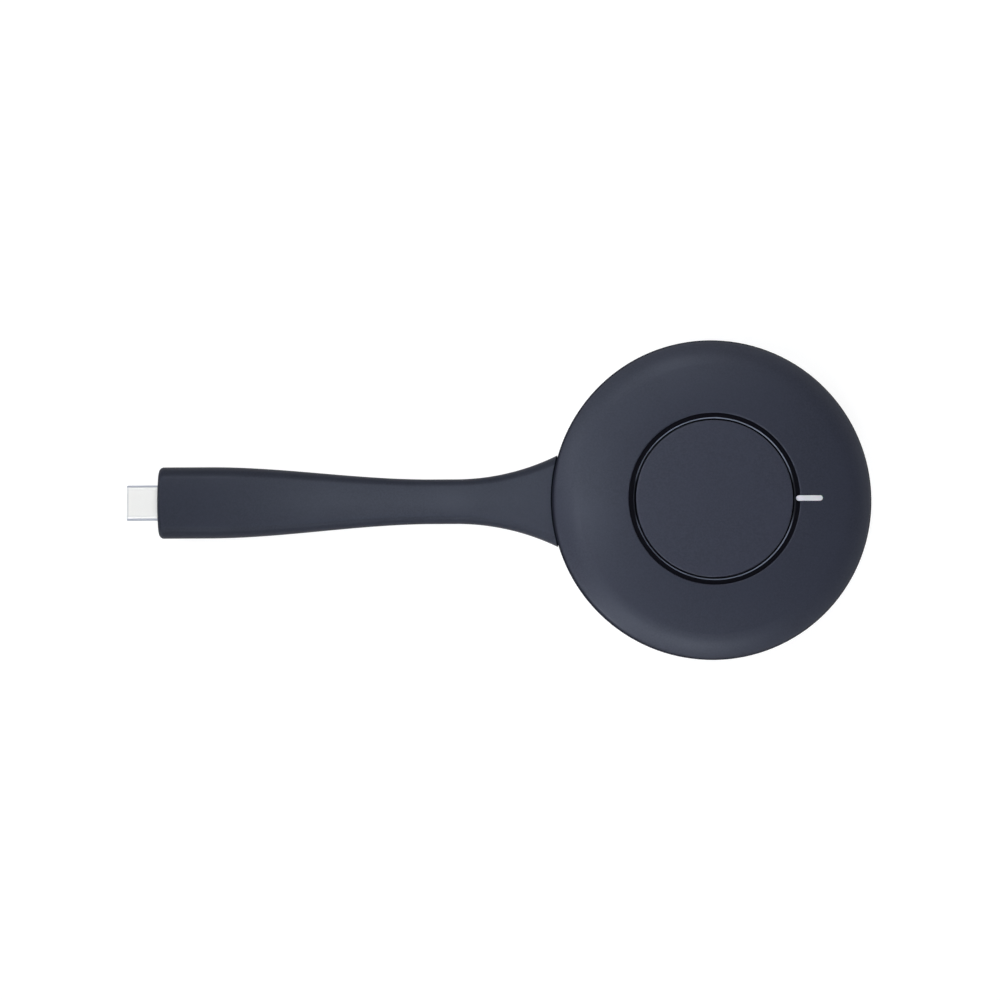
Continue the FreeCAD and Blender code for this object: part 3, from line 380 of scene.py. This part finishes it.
def spun_aluminium(name):
    """Disc with rings left by a lathe."""
    f = Finish(name)
    turns = f.from_axis() * (2.0 * math.pi / (LATHE_PITCH * MM))
    lathe = f.math("SINE", turns + f.noise(2.0) * 6.0)
    haze = f.noise(6.0)
    base = f.blend(haze * 0.5, ALUMINIUM, tone(ALUMINIUM, 0.85))
    rough = 0.30 + lathe * 0.05 + (haze - 0.5) * 0.12
    return f.surface(base, rough, f.relief(lathe, 0.0010), Metallic=1.0)


def smoked_ring(name):
    """Glossy smoked lens: almost black, a painted highlight line on its chamfer in a lighter metallic
    colour, dusty specks and hairline scratches.

    The painted highlight dies out where the ring faces the neck and the bar, and is fainter at the ring's
    far and near ends and towards the bar.
    """
    f = Finish(name)
    x, y, z = f.split(f.place)
    button_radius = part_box("button_cap")[1][0]
    line_radius = button_radius + RING_LINE_OUT * MM
    lip = 1.0 - f.zone(f.math("ABSOLUTE", f.from_axis() - line_radius), RING_LINE_EDGE)
    lip = lip * f.zone(z, RING_LIP_HEIGHT)
    across = f.math("ABSOLUTE", y)
    # Painted highlight: its strength is set by its place round the ring
    line_highlight = f.zone(across, RING_LINE_AT_SIDES, 0.05) * f.zone(across, RING_LINE_AT_ENDS, 1.0, 0.62)
    line_highlight = line_highlight * f.ease(f.noise(5.0), 0.2, 0.8, 0.8) * f.zone(x, RING_LINE_ALONG, 1.0, 0.45)
    scratches = f.ease(f.noise(0.25, 5.0, (1.0, 9.0, 1.0)), 0.66, 0.74)
    dust_and_shade = f.spots(0.30, 0.72, 0.80, 2.0)
    base = f.blend(dust_and_shade * 0.10, SMOKED_BLACK, SMOKED_DUST)
    base = f.blend(lip * line_highlight, base, RING_LINE_HIGHLIGHT)
    rough = 0.24 + scratches * 0.10 + dust_and_shade * 0.2 + lip * 0.20
    normal = f.relief(scratches, 0.0006)
    return f.surface(base, rough, normal, Metallic=lip * line_highlight, Specular_IOR_Level=0.04)


def white_diffuser(name, colour, glow):
    """Milky light pipe, slightly translucent, with a faint light of its own."""
    f = Finish(name)
    cloud = f.noise(1.5)
    base = f.blend(f.ease(cloud, 0.3, 0.7) * 0.4, colour, tone(colour, 0.93))
    base = f.blend(f.edges(0.22, 0.9), base, tone(colour, 0.5))
    constants = {
        "Subsurface_Weight": 0.25,
        "Subsurface_Scale": 0.6 * MM,
        "Emission_Color": opaque(LAMP_GLOW),
        "Emission_Strength": glow,
    }
    return f.surface(base, 0.34 + (cloud - 0.5) * 0.12, f.relief(f.noise(0.3), 0.002), **constants)


def board_finish(name):
    """Circuit board: solder mask over copper traces and pour, with tinned rings round its holes."""
    f = Finish(name)
    x, y, _ = f.split(f.place)
    warp = f.noise(5.0, 0.0) * (3.0 * MM)
    lanes = f.math("PINGPONG", x + warp, TRACE_LANE * MM) / (TRACE_LANE * MM)
    cross = f.math("PINGPONG", y + warp * 1.3, TRACE_CROSS * MM) / (TRACE_CROSS * MM)
    region = f.noise(4.0, 1.0) > 0.5
    traces = f.ease(lanes, 0.52, 0.60) * region + f.ease(cross, 0.52, 0.60) * (1.0 - region)
    pour = f.spots(9.0, 0.50, 0.51, 1.0)
    copper = f.math("MAXIMUM", traces, pour)
    base = f.blend(copper, MASK_GREEN, COPPER_UNDER_MASK)
    base = f.blend(f.spots(6.0, 0.3, 0.8) * 0.3, base, tone(MASK_GREEN, 0.7))
    base = f.blend(f.edges(0.15, 0.8), base, TINNED_EDGE)
    rough = 0.30 + f.noise(0.3, 2.0) * 0.08 + copper * 0.04
    return f.surface(base, rough, f.relief(copper, 0.03), Specular_IOR_Level=0.5)


def chip_finish(name):
    """Epoxy chip packages with a satin face, a fine dull texture and paler edges."""
    f = Finish(name)
    fine = f.noise(0.12)
    base = f.blend(f.spots(3.0, 0.3, 0.7, 2.0) * 0.5, EPOXY_BLACK, EPOXY_CLOUD)
    base = f.blend(f.edges(0.15, 0.5), base, EPOXY_WORN)
    return f.surface(base, 0.52 + (fine - 0.5) * 0.2, f.relief(fine, 0.006))


def wire_finish(name):
    """Four insulated wires, each of its own colour by its place across the row."""
    f = Finish(name)
    _, y, _ = f.split(f.place)
    colour = WIRE_COLOURS[0]
    for i, next_colour in enumerate(WIRE_COLOURS[1:]):
        colour = f.blend(y > (i - 1) * WIRE_PITCH * MM, colour, next_colour)
    fine = f.noise(0.25, 2.0)
    colour = f.blend(f.ease(fine, 0.5, 0.8) * 0.25, colour, WIRE_DUST)
    return f.surface(colour, 0.36 + (fine - 0.5) * 0.15, f.relief(fine, 0.004))


def foam_finish(name):
    """Closed-cell silicone foam: small round cells with painted shade in their pits."""
    f = Finish(name)
    pits = f.ease(f.cells(0.55), 0.10, 0.45)
    base = f.blend(pits, tone(FOAM_GREY, 0.55), FOAM_GREY)
    return f.surface(base, 0.86 - pits * 0.10, f.relief(pits, 0.10), Specular_IOR_Level=0.25)


def lamp_finish(name):
    """White lamp packages with a yellow phosphor window on top of each."""
    f = Finish(name)
    _, _, facing_up = f.split(f.node("ShaderNodeNewGeometry", (), (), 1))
    cloud = f.noise(0.5)
    window = (facing_up > 0.5) * f.ease(cloud, 0.40, 0.44)
    base = f.blend(window, LAMP_WHITE, PHOSPHOR)
    base = f.blend(f.edges(0.1, 0.5), base, tone(LAMP_WHITE, 0.7))
    return f.surface(base, 0.34 + cloud * 0.15, f.relief(cloud, 0.004))


def put_on(node, material):
    """Gives a carried-over CAD node its finish."""
    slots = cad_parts[node].data.materials
    for i in range(len(slots)):
        slots[i] = material


# The finish of each node that the CAD model brings
# Both coats paint shade on steep sides by the share duller; the neck's coat also paints shade in the
# groove by the puck
PLASTIC_COAT = {"grain_depth": 0.008, "fade": (0.36, 0.80), "duller": 1.0}
RUBBER_COAT = {"grain_depth": 0.009, "fade": (0.93, 1.0), "duller": 0.42, "corner": shade_by_the_puck}
shell = soft_touch("shell_slate_soft_touch", SLATE, shine=0.29, **PLASTIC_COAT)
button_coat = soft_touch("button_slate_soft_touch", SLATE_BUTTON, shine=0.31, **PLASTIC_COAT)
neck_rubber = soft_touch("neck_soft_rubber", SLATE_NECK, shine=0.31, **RUBBER_COAT)
screw_steel = drawn_metal("screw_zinc_steel", STEEL, 0.30, along=(6.0, 6.0, 6.0))
antenna_steel = drawn_metal("antenna_spring_steel", SPRING_STEEL, 0.26, along=(8.0, 8.0, 1.0))
shield_tin = drawn_metal("shield_tin_plate", TIN, 0.30, along=(1.0, 10.0, 1.0))
connector_nylon = moulded("connector_ivory_nylon", IVORY, 0.45)
pad_silicone = moulded("thermal_pad_grey", PAD_BLUE_GREY, 0.72, grain=0.5, depth=0.02, shine=0.3)
contact_gold = drawn_metal("contact_gold", GOLD, 0.20, along=(1.0, 12.0, 12.0), depth=0.0006)

FINISHES = {
    "top_cover": shell,
    "bottom_cover": shell,
    "button_cap": button_coat,
    "foot_pad": moulded("foot_rubber", RUBBER, 0.66, grain=0.30, depth=0.020, shine=0.35),
    "housing_screws": screw_steel,
    "board_screws": screw_steel,
    "clamp_screws": screw_steel,
    "light_ring": smoked_ring("ring_smoked_lens"),
    "light_guide": white_diffuser("guide_opal", OPAL, glow=0.0),
    "status_bar": white_diffuser("bar_white_diffuser", WHITE_DIFFUSER, glow=0.05),
    "button_retainer": moulded("frame_black_plastic", MOULD_BLACK, 0.48),
    "switch_body": moulded("switch_black_nylon", MOULD_BLACK, 0.40),
    "switch_stem": moulded("stem_ivory_nylon", IVORY, 0.36),
    "main_board": board_finish("board_green_mask"),
    "status_leds": lamp_finish("lamp_package_white"),
    "radio_shield": shield_tin,
    "power_shield": shield_tin,
    "antenna_left": antenna_steel,
    "antenna_right": antenna_steel,
    "board_chips": chip_finish("chip_black_epoxy"),
    "heat_spreader": spun_aluminium("spreader_aluminium"),
    "thermal_pad": pad_silicone,
    "cable_header": connector_nylon,
    "cable_connector": connector_nylon,
    "cable_wires": wire_finish("wire_insulation"),
    "plug_wires": wire_finish("plug_wire_insulation"),
    "cable_clamp": moulded("clamp_black_nylon", MOULD_BLACK, 0.46),
    "plug_mould": moulded("mould_black_rigid", MOULD_BLACK, 0.50),
    "plug_shell": satin_nickel("plug_satin_nickel"),
    "plug_insulator": moulded("insulator_black", MOULD_BLACK, 0.40, grain=0.15, depth=0.002),
    "plug_contacts": contact_gold,
    "plug_latches": drawn_metal("latch_steel", SPRING_STEEL, 0.22),
    "plug_card": board_finish("card_green_mask"),
    "plug_can": drawn_metal("can_tin_plate", TIN, 0.28, along=(1.0, 8.0, 8.0)),
}
for node, material in FINISHES.items():
    put_on(node, material)


# The puck's wall and its round lower edge, as in the CAD, in millimetres
WALL = 1.8
BOWL = {"circle": 29.1, "height": 6.8, "radius": 8.0}

# The soft neck and grip with their cable and mould, as in the CAD, in millimetres
NECK_HEIGHT = 6.0
GRIP_END = -128.6
GRIP_START = -116.6
WAIST_START = -65.0
WAIST_END = -59.5
GRIP_HALF = (8.3, 3.5)
WAIST_HALF = (5.22, 2.4)
FLARE_RADIUS = 54.0
FLARE_HALF_HEIGHT = 2.9
ROUNDNESS = 0.92
END_BOW_RADIUS = 110.0
END_EDGE = 1.0
JUNCTION = -math.sqrt(PUCK_RADIUS**2 - (2 * WAIST_HALF[0]) ** 2)
FLANGE = {"gap": 0.2, "thickness": 1.95, "reach": 2.1, "top": 9.1, "bottom": 3.1, "corner": 1.4}
CABLE_RADIUS = 1.7
CABLE_ROOM = 0.05
CABLE_ENDS = (-110.4, -27.6)
PLUG_SLOT = (4.175, 1.25)
MOULD = {"front": -127.25, "rear": -107.15, "half": (7.15, 2.75), "corner": 1.65, "tip": -102.15}
CONE_STEP = 0.15

# Where the neck's rings begin to curve like the puck, in millimetres
CURVED_FROM = -46.0

# How finely the soft pieces are divided, in points, rings or millimetres
QUARTER = 24
SIDE_STEPS = 16
FLAT_STEPS = 2
END_STEPS = 8
CURVE_STEPS = 20
FOAM_STEPS = 144
CABLE_SIDES = 40
ALONG_STEP = 0.6
CABLE_STEP = 1.0

# Rounds in which a ring's points settle, a corner's largest share of half a side, creases in degrees
SETTLING_ROUNDS = 6
LARGEST_CORNER = 0.999
RING_CREASE = 35.0
CABLE_CREASE = 40.0


# Soft neck and grip
def neck_half(x):
    """Half the neck's width and half its height at a place along it."""
    if x <= WAIST_END:
        t = min(1.0, max(0.0, (x - GRIP_START) / (WAIST_START - GRIP_START)))
        share = t * t * (3 - 2 * t)
        return [a + (b - a) * share for a, b in zip(GRIP_HALF, WAIST_HALF)]
    run = min(x, JUNCTION) - WAIST_END
    rise = (run / (JUNCTION - WAIST_END)) ** 2
    width = WAIST_HALF[0] + FLARE_RADIUS - math.sqrt(FLARE_RADIUS**2 - run**2)
    return [width, WAIST_HALF[1] + (FLARE_HALF_HEIGHT - WAIST_HALF[1]) * rise]


def neck_point(j, x, inset):
    """Point j of the neck's section at x as (y, z): round sides, a slightly crowned top and bottom."""
    wide, tall = [size - inset for size in neck_half(x)]
    side = ROUNDNESS * (tall + inset) - inset
    reach = wide - side
    crown = (reach**2 + tall**2 - side**2) / (2 * (tall - side))
    slope = math.asin(reach / (crown - side))
    quarter, step = divmod(j, QUARTER)
    if quarter % 2:
        step = QUARTER - step
    if step <= SIDE_STEPS:
        angle = (math.pi / 2 - slope) * step / SIDE_STEPS
        y = reach + side * math.cos(angle)
        z = side * math.sin(angle)
    else:
        angle = slope * (QUARTER - step) / (QUARTER - SIDE_STEPS)
        y = crown * math.sin(angle)
        z = tall - crown * (1 - math.cos(angle))
    return y * (1, -1, -1, 1)[quarter], NECK_HEIGHT + z * (1, 1, -1, -1)[quarter]


def neck_ring(place, inset=0.0):
    """Ring of the neck whose points lie on a face across it; each has the neck's size at its own x."""
    ring = []
    for j in range(4 * QUARTER):
        x = place(0, NECK_HEIGHT)
        for _ in range(SETTLING_ROUNDS):
            y, z = neck_point(j, x, inset)
            x = place(y, z)
        ring.append(Vector((x, y, z)) * MM)
    return ring


def rounded_loop(half_width, half_height, corner):
    """Points round a rectangle with round corners as (y, z), as many as a ring of the neck has."""
    corner = min(corner, LARGEST_CORNER * half_width, LARGEST_CORNER * half_height)
    flat_y = half_width - corner
    flat_z = half_height - corner
    quarter = [(half_width, flat_z * i / FLAT_STEPS) for i in range(FLAT_STEPS)]
    for i in range(SIDE_STEPS + 1):
        angle = math.pi / 2 * i / SIDE_STEPS
        quarter.append((flat_y + corner * math.cos(angle), flat_z + corner * math.sin(angle)))
    rest = QUARTER - SIDE_STEPS - FLAT_STEPS
    quarter += [(flat_y * (rest - i) / rest, half_height) for i in range(1, rest + 1)]
    loop = quarter[:-1] + [(-y, z) for y, z in quarter[:0:-1]]
    return loop + [(-y, -z) for y, z in loop]


def plain_ring(place, half, corner, middle=NECK_HEIGHT):
    """Ring of a rounded rectangle whose points lie on a face across the neck."""
    points = [(y, middle + z) for y, z in rounded_loop(*half, corner)]
    return [Vector((place(y, z), y, z)) * MM for y, z in points]


def flat(x):
    """A flat face across the neck."""
    return lambda y, z: x


def bowed(x):
    """The grip's end face, which bows outwards."""
    return lambda y, z: x + END_BOW_RADIUS - math.sqrt(END_BOW_RADIUS**2 - y**2)


def puck_side(offset):
    """The puck's outer side, with its round lower edge, moved outwards by an offset."""

    def place(y, z):
        fall = max(0.0, BOWL["height"] - z)
        bowl = BOWL["circle"] + math.sqrt((BOWL["radius"] + offset) ** 2 - fall**2)
        return -math.sqrt(min(PUCK_RADIUS + offset, bowl) ** 2 - y**2)

    return place


def between(x, place, share):
    """A face part of the way from a flat one to a curved one."""
    return lambda y, z: x + (place(y, z) - x) * share


def even_steps(first, last):
    """Places about a ring's distance apart, with both ends."""
    count = max(1, round(abs(last - first) / ALONG_STEP))
    return [first + (last - first) * i / count for i in range(count + 1)]


def outer_rings():
    """Rings of the neck's outside: over the rounded end, along grip and waist, into the groove."""
    rings = []
    for i in range(END_STEPS + 1):
        angle = math.pi / 2 * i / END_STEPS
        place = bowed(GRIP_END + END_EDGE * (1 - math.cos(angle)))
        rings.append(neck_ring(place, END_EDGE * (1 - math.sin(angle))))
    for x in even_steps(GRIP_END + 2 * END_EDGE, CURVED_FROM):
        rings.append(neck_ring(flat(x)))
    lip = puck_side(GROOVE["width"])
    for i in range(1, CURVE_STEPS + 1):
        rings.append(neck_ring(between(CURVED_FROM, lip, i / CURVE_STEPS)))
    rings.append(neck_ring(lip, GROOVE["depth"]))
    return rings


def flange_rings():
    """Rings of the neck behind the puck's wall: out of the groove and round the flange."""
    inner = puck_side(-WALL - TINY_GAP)
    front = puck_side(-WALL - FLANGE["gap"])
    back = puck_side(-WALL - FLANGE["gap"] - FLANGE["thickness"])
    half = (neck_half(JUNCTION)[0] + FLANGE["reach"], (FLANGE["top"] - FLANGE["bottom"]) / 2)
    middle = (FLANGE["top"] + FLANGE["bottom"]) / 2
    return [
        neck_ring(inner, GROOVE["depth"]),
        neck_ring(inner),
        neck_ring(front),
        plain_ring(front, half, FLANGE["corner"], middle),
        plain_ring(back, half, FLANGE["corner"], middle),
    ]


def inner_rings():
    """Rings of the neck's inside: the cable's bore, the room for the mould and the plug's slot."""
    back = puck_side(-WALL - FLANGE["gap"] - FLANGE["thickness"])
    bore = CABLE_RADIUS + CABLE_ROOM
    rings = [plain_ring(back, (bore, bore), bore)]
    for x in even_steps(back(0, NECK_HEIGHT) - ALONG_STEP, MOULD["tip"]):
        rings.append(plain_ring(flat(x), (bore, bore), bore))
    cone = MOULD["half"][1] - CONE_STEP
    rings.append(plain_ring(flat(MOULD["rear"]), (cone, cone), cone))
    rings.append(plain_ring(flat(MOULD["rear"]), MOULD["half"], MOULD["corner"]))
    rings.append(plain_ring(flat(MOULD["front"]), MOULD["half"], MOULD["corner"]))
    rings.append(plain_ring(flat(MOULD["front"]), PLUG_SLOT, PLUG_SLOT[1]))
    rings.append(plain_ring(bowed(GRIP_END), PLUG_SLOT, PLUG_SLOT[1]))
    return rings


def ring_mesh(name, rings, material):
    """Closed mesh through rings of points, the last joined to the first."""
    size = len(rings[0])
    faces = []
    for i in range(len(rings)):
        here = i * size
        there = (i + 1) % len(rings) * size
        for j in range(size):
            k = (j + 1) % size
            faces.append((here + j, here + k, there + k, there + j))
    mesh = bpy.data.meshes.new(name)
    mesh.from_pydata([point for ring in rings for point in ring], [], faces)
    mesh.materials.append(material)
    mesh.shade_smooth()
    mesh.set_sharp_from_angle(angle=math.radians(RING_CREASE))
    piece = bpy.data.objects.new(name, mesh)
    bpy.context.collection.objects.link(piece)
    return piece


neck_sleeve = ring_mesh("neck_sleeve", outer_rings() + flange_rings() + inner_rings(), neck_rubber)
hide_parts("neck_overmould")
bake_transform(neck_sleeve)


# Pieces grown by geometry nodes
def group_tree(name, sizes):
    """Empty geometry tree with named number inputs; gives it and each input's socket."""
    tree = bpy.data.node_groups.new(name, "GeometryNodeTree")
    tree.interface.new_socket("Geometry", in_out="OUTPUT", socket_type="NodeSocketGeometry")
    for size in sizes:
        tree.interface.new_socket(size, in_out="INPUT", socket_type="NodeSocketFloat")
    net = Net(tree)
    entry = tree.nodes.new("NodeGroupInput")
    return net, {socket.name: Signal(net, socket) for socket in entry.outputs if socket.name}


def grown(name, net, sizes, geometry, material):
    """Ends a tree with Realize Instances and Set Material and turns its result into a plain mesh."""
    realized = net.node("GeometryNodeRealizeInstances", (), {0: geometry})
    dressed = net.node("GeometryNodeSetMaterial", (), {"Geometry": realized, "Material": material})
    net.node("NodeGroupOutput", (), {0: dressed})
    piece = bpy.data.objects.new(name, bpy.data.meshes.new(name + "_start"))
    bpy.context.collection.objects.link(piece)
    modifier = piece.modifiers.new(name, "NODES")
    modifier.node_group = net.tree
    for item in net.tree.interface.items_tree:
        if item.in_out == "INPUT" and item.name in sizes:
            modifier[item.identifier] = sizes[item.name]
    seen = piece.evaluated_get(bpy.context.evaluated_depsgraph_get())
    mesh = bpy.data.meshes.new_from_object(seen)
    piece.modifiers.clear()
    piece.data = mesh
    mesh.name = name
    return piece


def cable_piece():
    """The cable in the neck: a round tube along its line, in rings short enough to bend."""
    sizes = {
        "Front": CABLE_ENDS[0] * MM,
        "Rear": CABLE_ENDS[1] * MM,
        "Height": NECK_HEIGHT * MM,
        "Radius": CABLE_RADIUS * MM,
        "Ring Spacing": CABLE_STEP * MM,
    }
    net, size = group_tree("cable_tube", sizes)
    first = net.node("ShaderNodeCombineXYZ", (), {0: size["Front"], 2: size["Height"]})
    last = net.node("ShaderNodeCombineXYZ", (), {0: size["Rear"], 2: size["Height"]})
    line = net.node("GeometryNodeCurvePrimitiveLine", (), {"Start": first, "End": last})
    sockets = {"Curve": line, "Length": size["Ring Spacing"]}
    line = net.node("GeometryNodeResampleCurve", {"mode": "LENGTH"}, sockets)
    sockets = {"Resolution": CABLE_SIDES, "Radius": size["Radius"]}
    circle = net.node("GeometryNodeCurvePrimitiveCircle", (), sockets)
    sockets = {"Curve": line, "Profile Curve": circle, "Fill Caps": True}
    tube = net.node("GeometryNodeCurveToMesh", (), sockets)
    jacket = moulded("cable_jacket_black", JACKET_BLACK, 0.50, grain=0.4, depth=0.010)
    return grown("neck_cable", net, sizes, tube, jacket)


neck_cable = cable_piece()
neck_cable.data.set_sharp_from_angle(angle=math.radians(CABLE_CREASE))
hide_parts("cable_core")
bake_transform(neck_cable)


# Foam ring under the button, between the ledge and the button's rib
FOAM_WIDTH = 1.8
FOAM_CORNER = 0.35
foam_low, foam_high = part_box("return_foam")


def foam_rings():
    """Rings of the foam's rounded section round the puck's axis."""
    half_width = FOAM_WIDTH * MM / 2
    half_height = (foam_high[2] - foam_low[2]) / 2
    middle_radius = foam_high[0] - half_width
    middle_height = (foam_low[2] + foam_high[2]) / 2
    loop = rounded_loop(half_width, half_height, FOAM_CORNER * MM)
    rings = []
    for i in range(FOAM_STEPS):
        angle = 2 * math.pi * i / FOAM_STEPS
        ring = []
        for across, up in loop:
            radius = middle_radius + across
            ring.append(Vector((radius * math.cos(angle), radius * math.sin(angle), middle_height + up)))
        rings.append(ring)
    return rings


foam_ring = ring_mesh("foam_ring", foam_rings(), foam_finish("foam_silicone_cells"))
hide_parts("return_foam")
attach(foam_ring, "puck")
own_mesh(foam_ring)


# Floor and backdrop: half a side and depth in metres, greys and white as levels, fade in metres
FLOOR_HALF = 6.0
FLOOR_DEPTH = -0.00002
FLOOR_PAINT = 0.80
FLOOR_SHADE = 0.28
FLOOR_WHITE = 0.84
FLOOR_FADE = (0.3, 1.2)
BACKDROP_WHITE = 1.0
BACKDROP_TOP = (0.15, 0.40)

# Light: the room's levels by direction, and where the lamps aim, in metres
ROOM_LEVELS = {"low": 0.92, "high": 0.02, "left": 0.19}
ROOM_LEFT = (-0.94, -0.10, 0.34)
ROOM_FADE = (-0.7, 1.0)
ROOM_TINT = (0.96, 0.98, 1.0)
LAMP_TINT = (0.94, 0.97, 1.0)
OBJECT_MIDDLE = (-0.04, 0, 0.008)
PUCK_TOP = (0, 0, 0.008)
NECK_TOP = (-0.070, 0.005, 0.008)


def floor_material():
    """Pale floor that looks white to the camera and in reflections, and keeps the object's shadow.

    Far from the object it is as white as the backdrop.
    """
    f = Finish("studio_floor")
    paint = f.node("ShaderNodeBsdfDiffuse", (), {"Color": opaque(tone(WHITE, FLOOR_PAINT))})
    shade = f.node("ShaderNodeBsdfDiffuse", (), {"Color": opaque(tone(WHITE, FLOOR_SHADE))})
    white = f.node("ShaderNodeEmission", (), {"Color": opaque(WHITE), "Strength": FLOOR_WHITE})
    pale = f.node("ShaderNodeAddShader", (), {0: shade, 1: white})
    backdrop = f.node("ShaderNodeEmission", (), {"Color": opaque(WHITE), "Strength": BACKDROP_WHITE})
    pale = f.mix(f.ease(f.from_axis(), *FLOOR_FADE), pale, backdrop)
    seen = f.rays("Is Camera Ray", "Is Glossy Ray", "Is Transmission Ray")
    return f.finish(f.mix(seen, paint, pale))


def make_floor():
    """Large plane just under the foot."""
    mesh = bpy.data.meshes.new("studio_floor")
    signs = ((-1, -1), (1, -1), (1, 1), (-1, 1))
    corners = [(x * FLOOR_HALF, y * FLOOR_HALF, FLOOR_DEPTH) for x, y in signs]
    mesh.from_pydata(corners, [], [(0, 1, 2, 3)])
    mesh.materials.append(floor_material())
    floor = bpy.data.objects.new("studio_floor", mesh)
    bpy.context.collection.objects.link(floor)


def make_world():
    """White backdrop for the camera and low reflections; a plain grey room for everything else."""
    world = bpy.data.worlds.new("studio")
    bpy.context.scene.world = world
    world.use_nodes = True
    net = Net(world.node_tree)
    net.tree.nodes.clear()
    toward = net.node("ShaderNodeTexCoord")
    _, _, height = net.split(toward)
    shiny = net.rays("Is Glossy Ray", "Is Transmission Ray")
    backdrop = shiny * net.ease(height, *BACKDROP_TOP, 1.0, 0.0)
    seen = net.math("MAXIMUM", net.rays("Is Camera Ray"), backdrop)
    level = net.ease(height, *ROOM_FADE, ROOM_LEVELS["low"], ROOM_LEVELS["high"])
    level = level + net.ease(net.dot(toward, ROOM_LEFT), *ROOM_FADE, 0.0, ROOM_LEVELS["left"])
    room = net.node("ShaderNodeBackground", (), {"Color": opaque(ROOM_TINT), "Strength": level})
    white = net.node("ShaderNodeBackground", (), {"Color": opaque(WHITE), "Strength": BACKDROP_WHITE})
    net.node("ShaderNodeOutputWorld", (), {0: net.mix(seen, room, white)})


def softbox(name, target, bearing, elevation, distance, size, radiance, beam=180.0):
    """Square soft light of a beam angle, aimed from a bearing (0 is +X, 90 is +Y) and an elevation."""
    light = bpy.data.lights.new(name, "AREA")
    light.size = size
    light.spread = math.radians(beam)
    light.energy = radiance * size**2 * math.pi
    light.color = LAMP_TINT
    a = math.radians(bearing)
    e = math.radians(elevation)
    away = Vector((math.cos(a) * math.cos(e), math.sin(a) * math.cos(e), math.sin(e)))
    turn = away.to_track_quat("Z", "Y").to_matrix().to_4x4()
    box = bpy.data.objects.new(name, light)
    box.matrix_world = Matrix.Translation(Vector(target) + away * distance) @ turn
    box.visible_camera = False
    bpy.context.collection.objects.link(box)


make_floor()
make_world()
softbox("far_side", OBJECT_MIDDLE, 95.0, 52.0, distance=1.1, size=0.50, radiance=4.77)
softbox("lower_left", OBJECT_MIDDLE, 240.0, 46.0, distance=1.1, size=0.50, radiance=3.6)
softbox("puck_left", PUCK_TOP, 156.0, 40.0, distance=0.6, size=0.35, radiance=0.24, beam=30.0)
softbox("puck_near", PUCK_TOP, 272.0, 42.0, distance=0.5, size=0.25, radiance=0.366, beam=32.0)
softbox("puck_lower", PUCK_TOP, 236.0, 34.0, distance=0.5, size=0.20, radiance=0.048, beam=30.0)
softbox("rim_low", PUCK_TOP, 232.0, 8.0, distance=0.5, size=0.25, radiance=0.28, beam=30.0)
softbox("overhead", NECK_TOP, 90.0, 90.0, distance=0.12, size=0.03, radiance=13.6)


# Camera: nearly straight above, leaning a little from the near side; degrees and metres
CAMERA_LEAN = (1.73, 3.04)
CAMERA_ROLL = -0.28
CAMERA_DISTANCE = 0.5509
CAMERA_TARGET = Vector((-0.0492, 0.00034, NECK_HEIGHT * MM))
CAMERA_LENS = 85.0
CAMERA_CLIP = 0.01


def make_camera():
    """Camera fitted to the photograph: long lens, the neck's axis level across the picture."""
    lean_x, lean_y = [math.sin(math.radians(angle)) for angle in CAMERA_LEAN]
    look = Vector((lean_x, lean_y, -math.sqrt(1 - lean_x**2 - lean_y**2)))
    right = (Vector((1, 0, 0)) - look * look.x).normalized()
    up = right.cross(look)
    turn = Matrix((right, up, -look)).transposed().to_4x4()
    turn = turn @ Matrix.Rotation(math.radians(CAMERA_ROLL), 4, "Z")
    data = bpy.data.cameras.new("camera")
    data.lens = CAMERA_LENS
    data.clip_start = CAMERA_CLIP
    camera = bpy.data.objects.new("camera", data)
    camera.matrix_world = Matrix.Translation(CAMERA_TARGET - look * CAMERA_DISTANCE) @ turn
    bpy.context.collection.objects.link(camera)
    bpy.context.scene.camera = camera


make_camera()
bpy.context.scene.view_settings.view_transform = "Standard"
